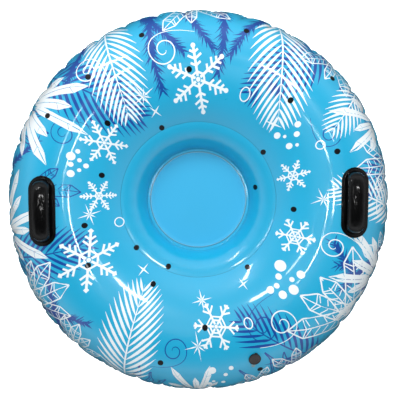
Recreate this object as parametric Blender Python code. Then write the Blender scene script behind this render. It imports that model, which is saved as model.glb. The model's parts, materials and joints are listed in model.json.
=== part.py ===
"""Snow tube: an inflated two-sheet ring with a closed seat, two grab handles and a screw-in air valve.

Metres, +Z up. The origin is on the ground under the middle of the seat. The handles are at -X and +X.
"""
import math

import bmesh
import bpy
from mathutils import Matrix, Vector

# Inflated ring
TUBE_RADIUS = 0.598
TUBE_HEIGHT = 0.300
CREST_RADIUS = 0.430
GROUND_HALF_WIDTH = 0.025
TIE_RADIUS = 0.238
TIE_HEIGHT = 0.170
ROLL_BULGE = 0.019
SEAT_RADIUS = 0.158
OUTER_WELD_WIDTH = 0.008
SEAT_WELD_WIDTH = 0.008
SEAT_WELD_MARGIN = 0.001
SEAT_WELD_PRESS = 0.0001

# Sheets and the gap that every weld line keeps
TOP_SHEET = 0.0006
BOTTOM_SHEET = 0.0009
SEAT_SHEET = 0.0009
TIE_SHEET = 0.0006
WELD_GAP = 0.0003

# Puckers of the outer weld: a fold at every third point of the fine rings
FOLDS = 40
POINTS_PER_FOLD = 3
FINE_RING = FOLDS * POINTS_PER_FOLD
COARSE_RING = FINE_RING // 2
FOLD_DEPTH = 0.008
FOLD_MEAN_SHARE = 0.60
FOLD_SIDE_SHARE = 0.22
FOLD_RIPPLE_SHARE = 0.18
FOLD_RIPPLE_STEP = 2.4
DEEPEST_SIDE = 125.0
OUTER_ARC_SHARES = (0.09, 0.24, 0.42, 0.61, 0.80)
PUCKER_SHARES = (0.90, 0.50, 0.0, 0.0, 0.0)
INNER_ARC_STEPS = 3
ROLL_STEPS = 4

# Baffle that ties the two sheets together
TIE_FLANGE = 0.012
VENT_RADIUS = 0.020
VENT_PAIRS = 3
VENT_SIDES = 12

# Handles: where each stands round the tube, and the way it faces
HANDLE_RADIUS = 0.470
HANDLE_PLACES = {"left": (184.3, 181.0), "right": (-1.2, -1.3)}
PATCH_LENGTH = 0.212
PATCH_WIDTH = 0.084
PATCH_SHEET = 0.002
PATCH_END_STEPS = 10
GRIP_LENGTH = 0.184
GRIP_WIDTH = 0.048
GRIP_THICKNESS = 0.018
GRIP_CLEARANCE = 0.026
GRIP_WALL = 0.0015
ARCH_SQUARENESS = 2.8
ARCH_STEPS = 12
GRIP_SIDES = 12

# Air valve, on the outer slope
VALVE_RADIUS = 0.508
VALVE_ANGLE = -70.5
CAP_TURN = -28.0
VALVE_SIDES = 24
FLANGE_RADIUS = 0.030
FLANGE_SHEET = 0.0015
NECK_RADIUS = 0.0165
NECK_WALL = 0.002
NECK_DEPTH = 0.014
NECK_LIP = 0.0005
GASKET_HEIGHT = 0.0008
GASKET_WIDTH = 0.0016
CORE_FLANGE_RADIUS = 0.0185
CORE_FLANGE_HEIGHT = 0.0018
CORE_DEPTH = 0.0085
CORE_BORE = 0.009
CORE_WEB = 0.002
CORE_WINDOWS = 3
CORE_WINDOW_ARC = 84.0
HUB_RADIUS = 0.0032
FLAP_RADIUS = 0.011
FLAP_HEIGHT = 0.0012
FLAP_TRAVEL = 0.0015
STEM_RADIUS = 0.0013
STEM_HEAD_RADIUS = 0.0024
STEM_HEAD_HEIGHT = 0.001
CAP_RADIUS = 0.019
CAP_HEIGHT = 0.0022
CAP_RIM_WIDTH = 0.003
CAP_DISH = 0.0006
CAP_SKIRT_DEPTH = 0.0035
CAP_SKIRT_WALL = 0.0012
CAP_SKIRT_CLEARANCE = 0.0005
TAB_WIDTH = 0.012
TAB_LENGTH = 0.009
TAB_HEIGHT = 0.0014
TETHER_WIDTH = 0.008
TETHER_SHEET = 0.001

# How far a cutter runs past what it cuts
OVERRUN = 0.010


def clear_scene():
    for thing in list(bpy.data.objects):
        bpy.data.objects.remove(thing, do_unlink=True)


def make_material(name, colour, roughness):
    material = bpy.data.materials.new(name)
    material.use_nodes = True
    shader = material.node_tree.nodes["Principled BSDF"]
    shader.inputs["Base Color"].default_value = (*colour, 1.0)
    shader.inputs["Roughness"].default_value = roughness
    shader.inputs["Metallic"].default_value = 0.0
    return material


def add_object(name, bm, colour=None, roughness=0.4):
    """Turns a bmesh into a named object; one without a colour is a hidden cutter or blank."""
    mesh = bpy.data.meshes.new(name)
    bm.to_mesh(mesh)
    bm.free()
    mesh.shade_smooth()
    mesh.set_sharp_from_angle(angle=math.radians(30))
    thing = bpy.data.objects.new(name, mesh)
    bpy.context.scene.collection.objects.link(thing)
    if colour is None:
        thing.hide_render = True
        thing.display_type = "WIRE"
    else:
        mesh.materials.append(make_material(name, colour, roughness))
    return thing


def add_boolean(thing, operation, other):
    modifier = thing.modifiers.new(f"{operation.lower()} {other.name}", "BOOLEAN")
    modifier.operation = operation
    modifier.object = other


def place(bm, frame):
    bmesh.ops.transform(bm, matrix=frame, verts=bm.verts)


def face_outwards(bm):
    bmesh.ops.recalc_face_normals(bm, faces=bm.faces)


# The ring's two sheets

def fold_share(fold):
    """How deep one fold is drawn in: the folds differ, and are deepest at the back left."""
    from_deepest = math.tau * fold / FOLDS - math.radians(DEEPEST_SIDE)
    ripple = math.sin(FOLD_RIPPLE_STEP * fold)
    return FOLD_MEAN_SHARE + FOLD_SIDE_SHARE * math.cos(from_deepest) + FOLD_RIPPLE_SHARE * ripple


def ring_points(radius, height, count, pucker_share):
    points = []
    for index in range(count):
        angle = math.tau * index / count
        fold, place_in_fold = divmod(index, POINTS_PER_FOLD)
        drawn_in = 0.0
        if place_in_fold == 0:
            drawn_in = pucker_share * fold_share(fold) * FOLD_DEPTH
        reach = radius - drawn_in
        points.append(Vector((reach * math.cos(angle), reach * math.sin(angle), height)))
    return points


def arc_through(start, end, bulge, steps):
    """Points after start on an arc to end that stands out to the right of that chord by bulge."""
    chord = end - start
    right = Vector((chord.y, -chord.x)).normalized()
    half_angle = 2 * math.atan2(bulge, chord.length / 2)
    arc_radius = chord.length / 2 / math.sin(half_angle)
    centre = (start + end) / 2 - right * (arc_radius - bulge)
    points = []
    for step in range(1, steps + 1):
        turn = Matrix.Rotation(-half_angle + 2 * half_angle * step / steps, 2)
        points.append(centre + turn @ right * arc_radius)
    return points


def sheet_profile(sheet, crest_half_width):
    """Rings of a sheet's outer face, outer weld to seat weld: radius, rise over the welds, count, pucker."""
    rim = TUBE_RADIUS - OUTER_WELD_WIDTH
    weld_rise = WELD_GAP / 2 + sheet
    seat_rise = SEAT_SHEET / 2 + WELD_GAP + sheet
    crest_rise = TUBE_HEIGHT / 2
    rings = [(TUBE_RADIUS, weld_rise, FINE_RING, 1.0), (rim, weld_rise, FINE_RING, 1.0)]

    outer_crest = CREST_RADIUS + crest_half_width
    for arc_share, pucker_share in zip(OUTER_ARC_SHARES, PUCKER_SHARES):
        angle = math.pi / 2 * arc_share
        radius = outer_crest + (rim - outer_crest) * math.cos(angle)
        rise = weld_rise + (crest_rise - weld_rise) * math.sin(angle)
        count = FINE_RING if pucker_share else COARSE_RING
        rings.append((radius, rise, count, pucker_share))
    rings.append((outer_crest, crest_rise, COARSE_RING, 0.0))

    inner_crest = CREST_RADIUS - crest_half_width
    run = inner_crest - TIE_RADIUS
    drop = crest_rise - TIE_HEIGHT / 2
    arc_radius = (run ** 2 + drop ** 2) / (2 * drop)
    arc_angle = math.atan2(run, arc_radius - drop)
    first_step = 0 if crest_half_width else 1
    for step in range(first_step, INNER_ARC_STEPS + 1):
        angle = arc_angle * step / INNER_ARC_STEPS
        radius = inner_crest - arc_radius * math.sin(angle)
        rise = crest_rise - arc_radius * (1 - math.cos(angle))
        rings.append((radius, rise, COARSE_RING, 0.0))

    for point in roll_points(sheet):
        rings.append((point.x, point.y, COARSE_RING, 0.0))
    rings.append((SEAT_RADIUS - SEAT_WELD_WIDTH, seat_rise, COARSE_RING, 0.0))
    return rings


def roll_points(sheet):
    """The small roll between the tie line and the seat weld, as radius and rise."""
    tie_line = Vector((TIE_RADIUS, TIE_HEIGHT / 2))
    seat_weld = Vector((SEAT_RADIUS, SEAT_SHEET / 2 + WELD_GAP + sheet))
    return arc_through(tie_line, seat_weld, ROLL_BULGE, ROLL_STEPS)


def sheet_surface(sheet, crest_half_width, side):
    """The open outer face of a sheet; side is 1 for the top sheet and -1 for the bottom one."""
    bm = bmesh.new()
    rings = []
    for radius, rise, count, pucker_share in sheet_profile(sheet, crest_half_width):
        height = TUBE_HEIGHT / 2 + side * rise
        rings.append([bm.verts.new(point) for point in ring_points(radius, height, count, pucker_share)])
    for outer, inner in zip(rings, rings[1:]):
        join_rings(bm, outer, inner)
    bmesh.ops.triangulate(bm, faces=bm.faces)           # so both walls of a sheet get the same diagonals
    if side < 0:
        bmesh.ops.reverse_faces(bm, faces=bm.faces)
    bm.normal_update()
    return bm


def join_rings(bm, outer, inner):
    """Faces between two rings that have the same number of points, or where the outer has twice as many."""
    ratio = len(outer) // len(inner)
    for index, here in enumerate(inner):
        there = inner[(index + 1) % len(inner)]
        first = outer[index * ratio]
        last = outer[(index + 1) * ratio % len(outer)]
        if ratio == 1:
            bm.faces.new((first, last, there, here))
        else:
            middle = outer[index * ratio + 1]
            bm.faces.new((first, middle, here))
            bm.faces.new((middle, there, here))
            bm.faces.new((middle, last, there))


def offset_shell(surface, low, high, centre=None, reach=0.0):
    """A closed body between two offsets of a surface, all of it or only the faces near a centre."""
    shell = bmesh.new()
    faces = [face for face in surface.faces
             if centre is None or (face.calc_center_median() - centre).length < reach]
    lows = {}
    highs = {}
    for face in faces:
        for vert in face.verts:
            if vert not in lows:
                step = vert.normal * vert.calc_shell_factor()
                lows[vert] = shell.verts.new(vert.co + step * low)
                highs[vert] = shell.verts.new(vert.co + step * high)
    kept = set(faces)
    for face in faces:
        shell.faces.new([highs[vert] for vert in face.verts])
        shell.faces.new([lows[vert] for vert in reversed(face.verts)])
        for loop in face.loops:
            if sum(other in kept for other in loop.edge.link_faces) == 1:
                start = loop.vert
                end = loop.link_loop_next.vert
                shell.faces.new((lows[start], lows[end], highs[end], highs[start]))
    return shell


def top_surface():
    return sheet_surface(TOP_SHEET, 0.0, 1)


def slope_point(radius):
    """Height and outward slope of the top sheet outside the crest."""
    rim = TUBE_RADIUS - OUTER_WELD_WIDTH
    weld_rise = WELD_GAP / 2 + TOP_SHEET
    across = (radius - CREST_RADIUS) / (rim - CREST_RADIUS)
    climb = TUBE_HEIGHT / 2 - weld_rise
    up = math.sqrt(1 - across ** 2)
    height = TUBE_HEIGHT / 2 + weld_rise + climb * up
    slope = math.atan2(climb * across, (rim - CREST_RADIUS) * up)
    return height, slope


# Shapes used by several pieces

def turned(outline, sides):
    """A closed body turned about Z from an outline of radius and height; a zero radius is on the axis."""
    bm = bmesh.new()
    rings = []
    for radius, height in outline:
        if radius:
            rings.append([bm.verts.new((radius * math.cos(math.tau * side / sides),
                                        radius * math.sin(math.tau * side / sides), height))
                          for side in range(sides)])
        else:
            rings.append([bm.verts.new((0.0, 0.0, height))] * sides)
    for here, there in zip(rings, rings[1:] + rings[:1]):
        for side in range(sides):
            after = (side + 1) % sides
            corners = dict.fromkeys((here[side], here[after], there[after], there[side]))
            if len(corners) > 2:
                bm.faces.new(corners)
    face_outwards(bm)
    return bm


def prism(outline, low, high):
    """A closed body with a flat outline in X and Y, from one height to another."""
    bm = bmesh.new()
    bottoms = [bm.verts.new((x, y, low)) for x, y in outline]
    tops = [bm.verts.new((x, y, high)) for x, y in outline]
    bm.faces.new(reversed(bottoms))
    bm.faces.new(tops)
    for index in range(len(outline)):
        after = (index + 1) % len(outline)
        bm.faces.new((bottoms[index], bottoms[after], tops[after], tops[index]))
    face_outwards(bm)
    return bm


def cylinder(radius, low, high, sides):
    return turned([(0.0, low), (radius, low), (radius, high), (0.0, high)], sides)


def stadium(length, width, sides):
    """An outline with two round ends, long in Y."""
    radius = width / 2
    middle = length / 2 - radius
    points = []
    for end in (1, -1):
        for step in range(sides + 1):
            angle = math.pi * step / sides
            points.append((end * radius * math.cos(angle), end * (middle + radius * math.sin(angle))))
    return points


# Sheets, seat and baffle

def make_skins(valve_frame):
    bm = offset_shell(top_surface(), -TOP_SHEET, 0.0)
    top = add_object("top_skin", bm, (0.07, 0.52, 0.84), 0.3)
    hole = cylinder(NECK_RADIUS + WELD_GAP, -OVERRUN, OVERRUN, VALVE_SIDES)
    place(hole, valve_frame @ Matrix.Rotation(math.pi / VALVE_SIDES, 4, "Z"))
    add_boolean(top, "DIFFERENCE", add_object("valve_hole_cutter", hole))

    under = sheet_surface(BOTTOM_SHEET, GROUND_HALF_WIDTH, -1)
    add_object("bottom_skin", offset_shell(under, -BOTTOM_SHEET, 0.0), (0.62, 0.68, 0.72), 0.45)


def make_seat():
    """A disc whose upper face is pressed a little lower where it lies under the top sheet's weld flange."""
    low = TUBE_HEIGHT / 2 - SEAT_SHEET / 2
    high = TUBE_HEIGHT / 2 + SEAT_SHEET / 2
    pressed = high - SEAT_WELD_PRESS
    edge = SEAT_RADIUS - SEAT_SHEET
    weld_edge = SEAT_RADIUS - SEAT_WELD_WIDTH - SEAT_WELD_MARGIN
    outline = [(0.0, low), (edge, low), (edge, pressed), (weld_edge + SEAT_SHEET, pressed),
               (weld_edge, high), (0.0, high)]
    add_object("seat_floor", turned(outline, COARSE_RING), (0.28, 0.66, 0.90), 0.35)


def make_baffle():
    """A turned channel: an upright wall under the tie line, with a flange along each sheet's roll."""
    halves = []
    for sheet, side in ((BOTTOM_SHEET, -1), (TOP_SHEET, 1)):
        tie_line = Vector((TIE_RADIUS, TIE_HEIGHT / 2))
        along = (roll_points(sheet)[0] - tie_line).normalized()
        inwards = Vector((-along.y, along.x))
        drop = (sheet + WELD_GAP) / inwards.y
        corner = tie_line + Vector((0.0, -abs(drop)))
        flange_end = corner + along * TIE_FLANGE
        inner_corner = corner + along * (TIE_SHEET / -along.x) - Vector((0.0, TIE_SHEET / abs(along.x)))
        inner_end = inner_corner + along * (TIE_FLANGE - TIE_SHEET)
        half = [corner, flange_end, inner_end, inner_corner]
        if side < 0:
            half.reverse()
        halves += [(point.x, TUBE_HEIGHT / 2 + side * point.y) for point in half]
    wall = add_object("tie_baffle", turned(halves, COARSE_RING), (0.80, 0.84, 0.86), 0.6)
    for index in range(VENT_PAIRS):
        reach = TIE_RADIUS + OVERRUN
        vent = cylinder(VENT_RADIUS, -reach, reach, VENT_SIDES)
        turn = Matrix.Rotation(math.pi * (index + 0.5) / VENT_PAIRS, 4, "Z")
        lie_down = Matrix.Rotation(math.pi / 2, 4, "Y")
        place(vent, Matrix.Translation((0.0, 0.0, TUBE_HEIGHT / 2)) @ turn @ lie_down)
        add_boolean(wall, "DIFFERENCE", add_object(f"vent_cutter_{index + 1}", vent))


# Handles

def handle_frame(place_angle, facing_angle):
    """On the top sheet, with X away from the seat, Y along the handle and Z up."""
    height = slope_point(HANDLE_RADIUS)[0]
    turn = math.radians(place_angle)
    spot = Vector((HANDLE_RADIUS * math.cos(turn), HANDLE_RADIUS * math.sin(turn), height))
    return Matrix.Translation(spot) @ Matrix.Rotation(math.radians(facing_angle), 4, "Z")


def grip_half_width(along):
    """Half the grip's width at a place along it: seen from above, both ends are round."""
    end_radius = GRIP_WIDTH / 2
    past_straight = max(0.0, abs(along) - (GRIP_LENGTH / 2 - end_radius))
    return math.sqrt(end_radius ** 2 - past_straight ** 2)


def arch(inset, foot_depth):
    """A flat-oval tube bent into a square-shouldered arch, inset from the grip's outer face."""
    half_span = (GRIP_LENGTH - GRIP_THICKNESS) / 2
    crown = PATCH_SHEET + GRIP_CLEARANCE + GRIP_THICKNESS / 2
    power = 2 / ARCH_SQUARENESS
    path = [Vector((-half_span, -foot_depth))]
    for step in range(ARCH_STEPS + 1):
        angle = math.pi * step / ARCH_STEPS
        along = -math.copysign(abs(math.cos(angle)) ** power, math.cos(angle)) * half_span
        path.append(Vector((along, crown * abs(math.sin(angle)) ** power)))
    path.append(Vector((half_span, -foot_depth)))

    bm = bmesh.new()
    rings = []
    for index, spot in enumerate(path):
        before = path[max(index - 1, 0)]
        after = path[min(index + 1, len(path) - 1)]
        way = (after - before).normalized()
        across = Vector((-way.y, way.x))
        ring = []
        for side in range(GRIP_SIDES):
            angle = math.tau * side / GRIP_SIDES
            out = (GRIP_THICKNESS / 2 - inset) * math.sin(angle)
            side_step = (grip_half_width(spot.x) - inset) * math.cos(angle)
            flat = spot + across * out
            ring.append(bm.verts.new((side_step, flat.x, flat.y)))
        rings.append(ring)
    for here, there in zip(rings, rings[1:]):
        for side in range(GRIP_SIDES):
            after = (side + 1) % GRIP_SIDES
            bm.faces.new((here[side], here[after], there[after], there[side]))
    bm.faces.new(rings[0])
    bm.faces.new(rings[-1])
    face_outwards(bm)
    return bm


def make_handle(side_name, place_angle, facing_angle):
    frame = handle_frame(place_angle, facing_angle)
    spot = frame.translation
    surface = top_surface()
    patch_top = WELD_GAP + PATCH_SHEET
    reach = PATCH_LENGTH
    black = (0.012, 0.012, 0.014)

    patch = offset_shell(surface, WELD_GAP, patch_top, spot, reach)
    base = add_object(f"handle_base_{side_name}", patch, black, 0.25)
    outline = prism(stadium(PATCH_LENGTH, PATCH_WIDTH, PATCH_END_STEPS), -PATCH_WIDTH, PATCH_WIDTH)
    place(outline, frame)
    add_boolean(base, "INTERSECT", add_object(f"patch_outline_{side_name}", outline))

    foot = GRIP_WIDTH / 2
    ground = offset_shell(surface, -2 * foot, patch_top + WELD_GAP, spot, reach)
    ground_cutter = add_object(f"grip_foot_cutter_{side_name}", ground)
    inside = arch(GRIP_WALL, foot + GRIP_WALL)
    place(inside, frame)
    inside_cutter = add_object(f"grip_inside_cutter_{side_name}", inside)

    sleeve = arch(0.0, foot)
    place(sleeve, frame)
    grip = add_object(f"handle_grip_{side_name}", sleeve, black, 0.2)
    add_boolean(grip, "DIFFERENCE", inside_cutter)
    add_boolean(grip, "DIFFERENCE", ground_cutter)

    filling = arch(GRIP_WALL + WELD_GAP, foot)
    place(filling, frame)
    core = add_object(f"handle_core_{side_name}", filling, (0.35, 0.35, 0.36), 0.9)
    add_boolean(core, "DIFFERENCE", ground_cutter)


# Air valve

def make_valve_frame():
    """On the top sheet, with X downhill, away from the seat, and Z square to the sheet."""
    height, slope = slope_point(VALVE_RADIUS)
    turn = Matrix.Rotation(math.radians(VALVE_ANGLE), 4, "Z")
    tilt = Matrix.Rotation(slope, 4, "Y")
    return turn @ Matrix.Translation((VALVE_RADIUS, 0.0, height)) @ tilt


def make_valve_base(frame):
    black = (0.015, 0.015, 0.018)
    outer = -(TOP_SHEET + WELD_GAP)
    shell = offset_shell(top_surface(), outer - FLANGE_SHEET, outer, frame.translation, 4 * FLANGE_RADIUS)
    base = add_object("valve_base", shell, black, 0.4)
    disc = cylinder(FLANGE_RADIUS, -FLANGE_RADIUS, OVERRUN, VALVE_SIDES)
    neck = cylinder(NECK_RADIUS, -NECK_DEPTH, NECK_LIP, VALVE_SIDES)
    bore = cylinder(NECK_RADIUS - NECK_WALL, -NECK_DEPTH - OVERRUN, OVERRUN, VALVE_SIDES)
    for operation, name, shape in (("INTERSECT", "valve_flange_outline", disc),
                                   ("UNION", "valve_neck_blank", neck),
                                   ("DIFFERENCE", "valve_bore_cutter", bore)):
        place(shape, frame)
        add_boolean(base, operation, add_object(name, shape))


def gasket_top():
    return NECK_LIP + WELD_GAP + GASKET_HEIGHT


def core_top():
    return gasket_top() + WELD_GAP + CORE_FLANGE_HEIGHT


def make_valve_core(frame):
    seat = gasket_top() + WELD_GAP
    plug = NECK_RADIUS - NECK_WALL - WELD_GAP
    stem_hole = STEM_RADIUS + WELD_GAP
    web_top = CORE_WEB - CORE_DEPTH
    outline = [(stem_hole, -CORE_DEPTH), (plug, -CORE_DEPTH), (plug, seat), (CORE_FLANGE_RADIUS, seat),
               (CORE_FLANGE_RADIUS, core_top()), (CORE_BORE, core_top()), (CORE_BORE, web_top),
               (stem_hole, web_top)]
    bm = turned(outline, VALVE_SIDES)
    place(bm, frame)
    core = add_object("valve_core", bm, (0.02, 0.02, 0.022), 0.35)
    window_edge = CORE_BORE - STEM_RADIUS
    half_arc = math.radians(CORE_WINDOW_ARC) / 2
    for index in range(CORE_WINDOWS):
        middle = math.tau * index / CORE_WINDOWS
        angles = [middle + half_arc * share for share in (-1, -0.5, 0, 0.5, 1)]
        points = [(HUB_RADIUS * math.cos(angle), HUB_RADIUS * math.sin(angle)) for angle in angles]
        points += [(window_edge * math.cos(angle), window_edge * math.sin(angle))
                   for angle in reversed(angles)]
        window = prism(points, -CORE_DEPTH - CORE_WEB, web_top + CORE_WEB)
        place(window, frame)
        add_boolean(core, "DIFFERENCE", add_object(f"core_window_cutter_{index + 1}", window))


def make_valve_gasket(frame):
    inner = NECK_RADIUS - NECK_WALL + WELD_GAP
    low = NECK_LIP + WELD_GAP
    outline = [(inner, low), (inner + GASKET_WIDTH, low), (inner + GASKET_WIDTH, gasket_top()),
               (inner, gasket_top())]
    bm = turned(outline, VALVE_SIDES)
    place(bm, frame)
    add_object("valve_gasket", bm, (0.30, 0.30, 0.31), 0.7)


def make_valve_flap(frame):
    top = -CORE_DEPTH - WELD_GAP
    head = CORE_WEB - CORE_DEPTH + WELD_GAP + FLAP_TRAVEL
    outline = [(0.0, top - FLAP_HEIGHT), (FLAP_RADIUS, top - FLAP_HEIGHT), (FLAP_RADIUS, top),
               (STEM_RADIUS, top), (STEM_RADIUS, head), (STEM_HEAD_RADIUS, head),
               (STEM_RADIUS, head + STEM_HEAD_HEIGHT), (0.0, head + STEM_HEAD_HEIGHT)]
    bm = turned(outline, VALVE_SIDES)
    place(bm, frame)
    add_object("valve_flap", bm, (0.25, 0.25, 0.26), 0.6)


def make_valve_cap(frame):
    low = core_top() + WELD_GAP
    high = low + CAP_HEIGHT
    skirt = CORE_BORE - CAP_SKIRT_CLEARANCE
    edge = CAP_HEIGHT / 4
    rim = CAP_RADIUS - CAP_RIM_WIDTH
    outline = [(0.0, low), (skirt - CAP_SKIRT_WALL, low), (skirt - CAP_SKIRT_WALL, low - CAP_SKIRT_DEPTH),
               (skirt, low - CAP_SKIRT_DEPTH), (skirt, low), (CAP_RADIUS - edge, low),
               (CAP_RADIUS, low + edge), (CAP_RADIUS, high - edge), (CAP_RADIUS - edge, high),
               (rim, high), (rim - CAP_DISH, high - CAP_DISH), (0.0, high - CAP_DISH)]
    bm = turned(outline, VALVE_SIDES)
    place(bm, frame)
    cap = add_object("valve_cap", bm, (0.012, 0.012, 0.014), 0.3)

    half = TAB_WIDTH / 2
    start = rim
    end = CAP_RADIUS + TAB_LENGTH
    nose = half / 2
    points = [(start, -half), (end - nose, -half), (end, -nose), (end, nose), (end - nose, half),
              (start, half)]
    middle = (low + high) / 2
    tab = prism(points, middle - TAB_HEIGHT / 2, middle + TAB_HEIGHT / 2)
    place(tab, frame)
    add_boolean(cap, "UNION", add_object("cap_tab_blank", tab))


def make_cap_tether(frame):
    """A short strap on the uphill side that joins the cap's edge to the core's flange."""
    core_side = -(CORE_FLANGE_RADIUS + WELD_GAP)
    cap_side = -(CAP_RADIUS + WELD_GAP)
    inner = cap_side - TETHER_SHEET
    outer = inner - TETHER_SHEET
    bottom = core_top() - CORE_FLANGE_HEIGHT
    top = core_top() + WELD_GAP + CAP_HEIGHT
    outline = [(core_side, bottom), (core_side, bottom + TETHER_SHEET), (inner, bottom + TETHER_SHEET),
               (inner, top - TETHER_SHEET), (cap_side, top - TETHER_SHEET), (cap_side, top), (outer, top),
               (outer, bottom)]
    bm = prism(outline, -TETHER_WIDTH / 2, TETHER_WIDTH / 2)
    upright = Matrix(((1, 0, 0, 0), (0, 0, -1, 0), (0, 1, 0, 0), (0, 0, 0, 1)))
    place(bm, frame @ upright)
    add_object("cap_tether", bm, (0.012, 0.012, 0.014), 0.35)


def build():
    clear_scene()
    valve_frame = make_valve_frame()
    core_frame = valve_frame @ Matrix.Rotation(math.radians(CAP_TURN), 4, "Z")
    make_skins(valve_frame)
    make_seat()
    make_baffle()
    for side_name, (place_angle, facing_angle) in HANDLE_PLACES.items():
        make_handle(side_name, place_angle, facing_angle)
    make_valve_base(valve_frame)
    make_valve_core(core_frame)
    make_valve_gasket(core_frame)
    make_valve_flap(core_frame)
    make_valve_cap(core_frame)
    make_cap_tether(core_frame)


build()
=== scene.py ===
# Snow tube: the looks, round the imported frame. Metres, +Z up, the same frame as the CAD.
import json
import math
import random

import bmesh
import bpy
import numpy as np
from mathutils import Matrix, Vector, noise
from mathutils.geometry import delaunay_2d_cdt


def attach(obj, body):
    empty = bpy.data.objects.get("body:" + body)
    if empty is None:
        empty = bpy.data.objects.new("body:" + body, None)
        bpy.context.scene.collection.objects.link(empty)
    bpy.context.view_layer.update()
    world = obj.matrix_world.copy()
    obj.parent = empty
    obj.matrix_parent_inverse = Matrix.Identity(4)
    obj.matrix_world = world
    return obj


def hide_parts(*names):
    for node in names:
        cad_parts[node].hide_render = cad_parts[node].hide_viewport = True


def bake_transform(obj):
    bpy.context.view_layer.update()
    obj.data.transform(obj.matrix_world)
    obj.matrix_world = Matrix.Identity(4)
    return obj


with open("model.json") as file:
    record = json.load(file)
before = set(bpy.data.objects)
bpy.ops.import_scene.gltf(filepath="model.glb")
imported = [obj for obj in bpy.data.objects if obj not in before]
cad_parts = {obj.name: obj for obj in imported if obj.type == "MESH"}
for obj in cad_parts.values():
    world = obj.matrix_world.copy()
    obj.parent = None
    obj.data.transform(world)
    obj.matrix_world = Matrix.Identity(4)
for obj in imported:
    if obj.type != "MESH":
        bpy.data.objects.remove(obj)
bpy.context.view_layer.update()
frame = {"nodes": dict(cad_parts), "record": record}
fullTurn = 2 * math.pi
print("frame loaded:", len(frame["nodes"]), "nodes")


# Small helpers

def deselectAll():
    if bpy.context.object and bpy.context.object.mode != "OBJECT":
        bpy.ops.object.mode_set(mode="OBJECT")
    bpy.ops.object.select_all(action="DESELECT")


def makeActive(piece):
    deselectAll()
    piece.select_set(True)
    bpy.context.view_layer.objects.active = piece


def addObject(name, data):
    thing = bpy.data.objects.new(name, data)
    bpy.context.scene.collection.objects.link(thing)
    return thing


def startEdit(kind="FACE", action="SELECT"):
    bpy.ops.object.mode_set(mode="EDIT")
    bpy.ops.mesh.select_mode(type=kind)
    bpy.ops.mesh.select_all(action=action)


def pickEdges(piece, wanted):           # in edit mode, by the places of an edge's two ends
    work = bmesh.from_edit_mesh(piece.data)
    for edge in work.edges:
        edge.select = wanted(edge.verts[0].co, edge.verts[1].co)
    bmesh.update_edit_mesh(piece.data)


def raiseOutline(insets, thickness):    # in edit mode: rings inside a flat outline, then its thickness
    for width in insets:
        bpy.ops.mesh.inset(thickness=width)
    bpy.ops.mesh.poke()
    bpy.ops.mesh.select_all(action="SELECT")
    bpy.ops.mesh.extrude_region_move(TRANSFORM_OT_translate={"value": (0, 0, thickness)})


def endEdit():                          # with every face turned outwards
    bpy.ops.mesh.select_all(action="SELECT")
    bpy.ops.mesh.normals_make_consistent(inside=False)
    bpy.ops.object.mode_set(mode="OBJECT")


def applyModifier(piece, kind, **settings):
    modifier = piece.modifiers.new(kind.lower(), kind)
    for name, value in settings.items():
        setattr(modifier, name, value)
    bpy.ops.object.modifier_apply(modifier=modifier.name)


def dress(piece, *materials):
    for material in materials:
        piece.data.materials.append(material)


def finishPiece(piece, body, slot, *nodes):
    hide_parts(*nodes)
    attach(piece, body)


def smoothStep(value, low, high):
    share = np.clip((value - low) / (high - low), 0.0, 1.0)
    return share * share * (3 - 2 * share)


def toPolar(spots):
    return np.hypot(spots[:, 0], spots[:, 1]), np.arctan2(spots[:, 1], spots[:, 0])


def fromPolar(reach, angle):
    return np.column_stack((reach * np.cos(angle), reach * np.sin(angle)))


# Shader nodes: a socket is given a number or colour, or another node's output

def setSockets(tree, node, values):
    for socket, value in values.items():
        if isinstance(value, bpy.types.NodeSocket):
            tree.links.new(value, node.inputs[socket])
        else:
            node.inputs[socket].default_value = value


def addNode(tree, kind, values=None, **settings):
    node = tree.nodes.new(kind)
    for name, value in settings.items():
        setattr(node, name, value)
    setSockets(tree, node, values or {})
    return node.outputs


def multiplyAdd(tree, first, second, third):
    return addNode(tree, "ShaderNodeMath", {0: first, 1: second, 2: third}, operation="MULTIPLY_ADD")[0]


# Materials: one group gives every moulded or film surface its mottle, sheen changes and fine grain

filmNoise = {"mottleDetail": 4.0, "smearScale": 38.0, "smearDetail": 3.0, "grainDetail": 2.0}


def makeFilmGroup():
    group = bpy.data.node_groups.new("filmSurface", "ShaderNodeTree")
    group.interface.new_socket(name="Colour", in_out="INPUT", socket_type="NodeSocketColor")
    for name in ("Mottle", "Mottle Scale", "Roughness", "Roughness Spread", "Grain Scale"):
        group.interface.new_socket(name=name, in_out="INPUT", socket_type="NodeSocketFloat")
    for name, kind in (("Colour", "NodeSocketColor"), ("Roughness", "NodeSocketFloat"),
                       ("Height", "NodeSocketFloat")):
        group.interface.new_socket(name=name, in_out="OUTPUT", socket_type=kind)
    given = addNode(group, "NodeGroupInput")
    place = addNode(group, "ShaderNodeTexCoord")["Object"]

    def noiseOf(scale, detail):
        sockets = {"Vector": place, "Scale": scale, "Detail": detail}
        return addNode(group, "ShaderNodeTexNoise", sockets)["Fac"]

    def spreadRound(middle, strength, value):   # a noise that swings about a middle value
        swing = addNode(group, "ShaderNodeMath", {0: value, 1: 0.5}, operation="SUBTRACT")[0]
        return multiplyAdd(group, swing, strength, middle)

    mottle = spreadRound(1.0, given["Mottle"], noiseOf(given["Mottle Scale"], filmNoise["mottleDetail"]))
    shade = addNode(group, "ShaderNodeHueSaturation", {"Color": given["Colour"], "Value": mottle})
    addNode(group, "NodeGroupOutput", {
        "Colour": shade["Color"],
        "Roughness": spreadRound(given["Roughness"], given["Roughness Spread"],
                                 noiseOf(filmNoise["smearScale"], filmNoise["smearDetail"])),
        "Height": noiseOf(given["Grain Scale"], filmNoise["grainDetail"])})
    return group


filmGroup = makeFilmGroup()


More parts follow.
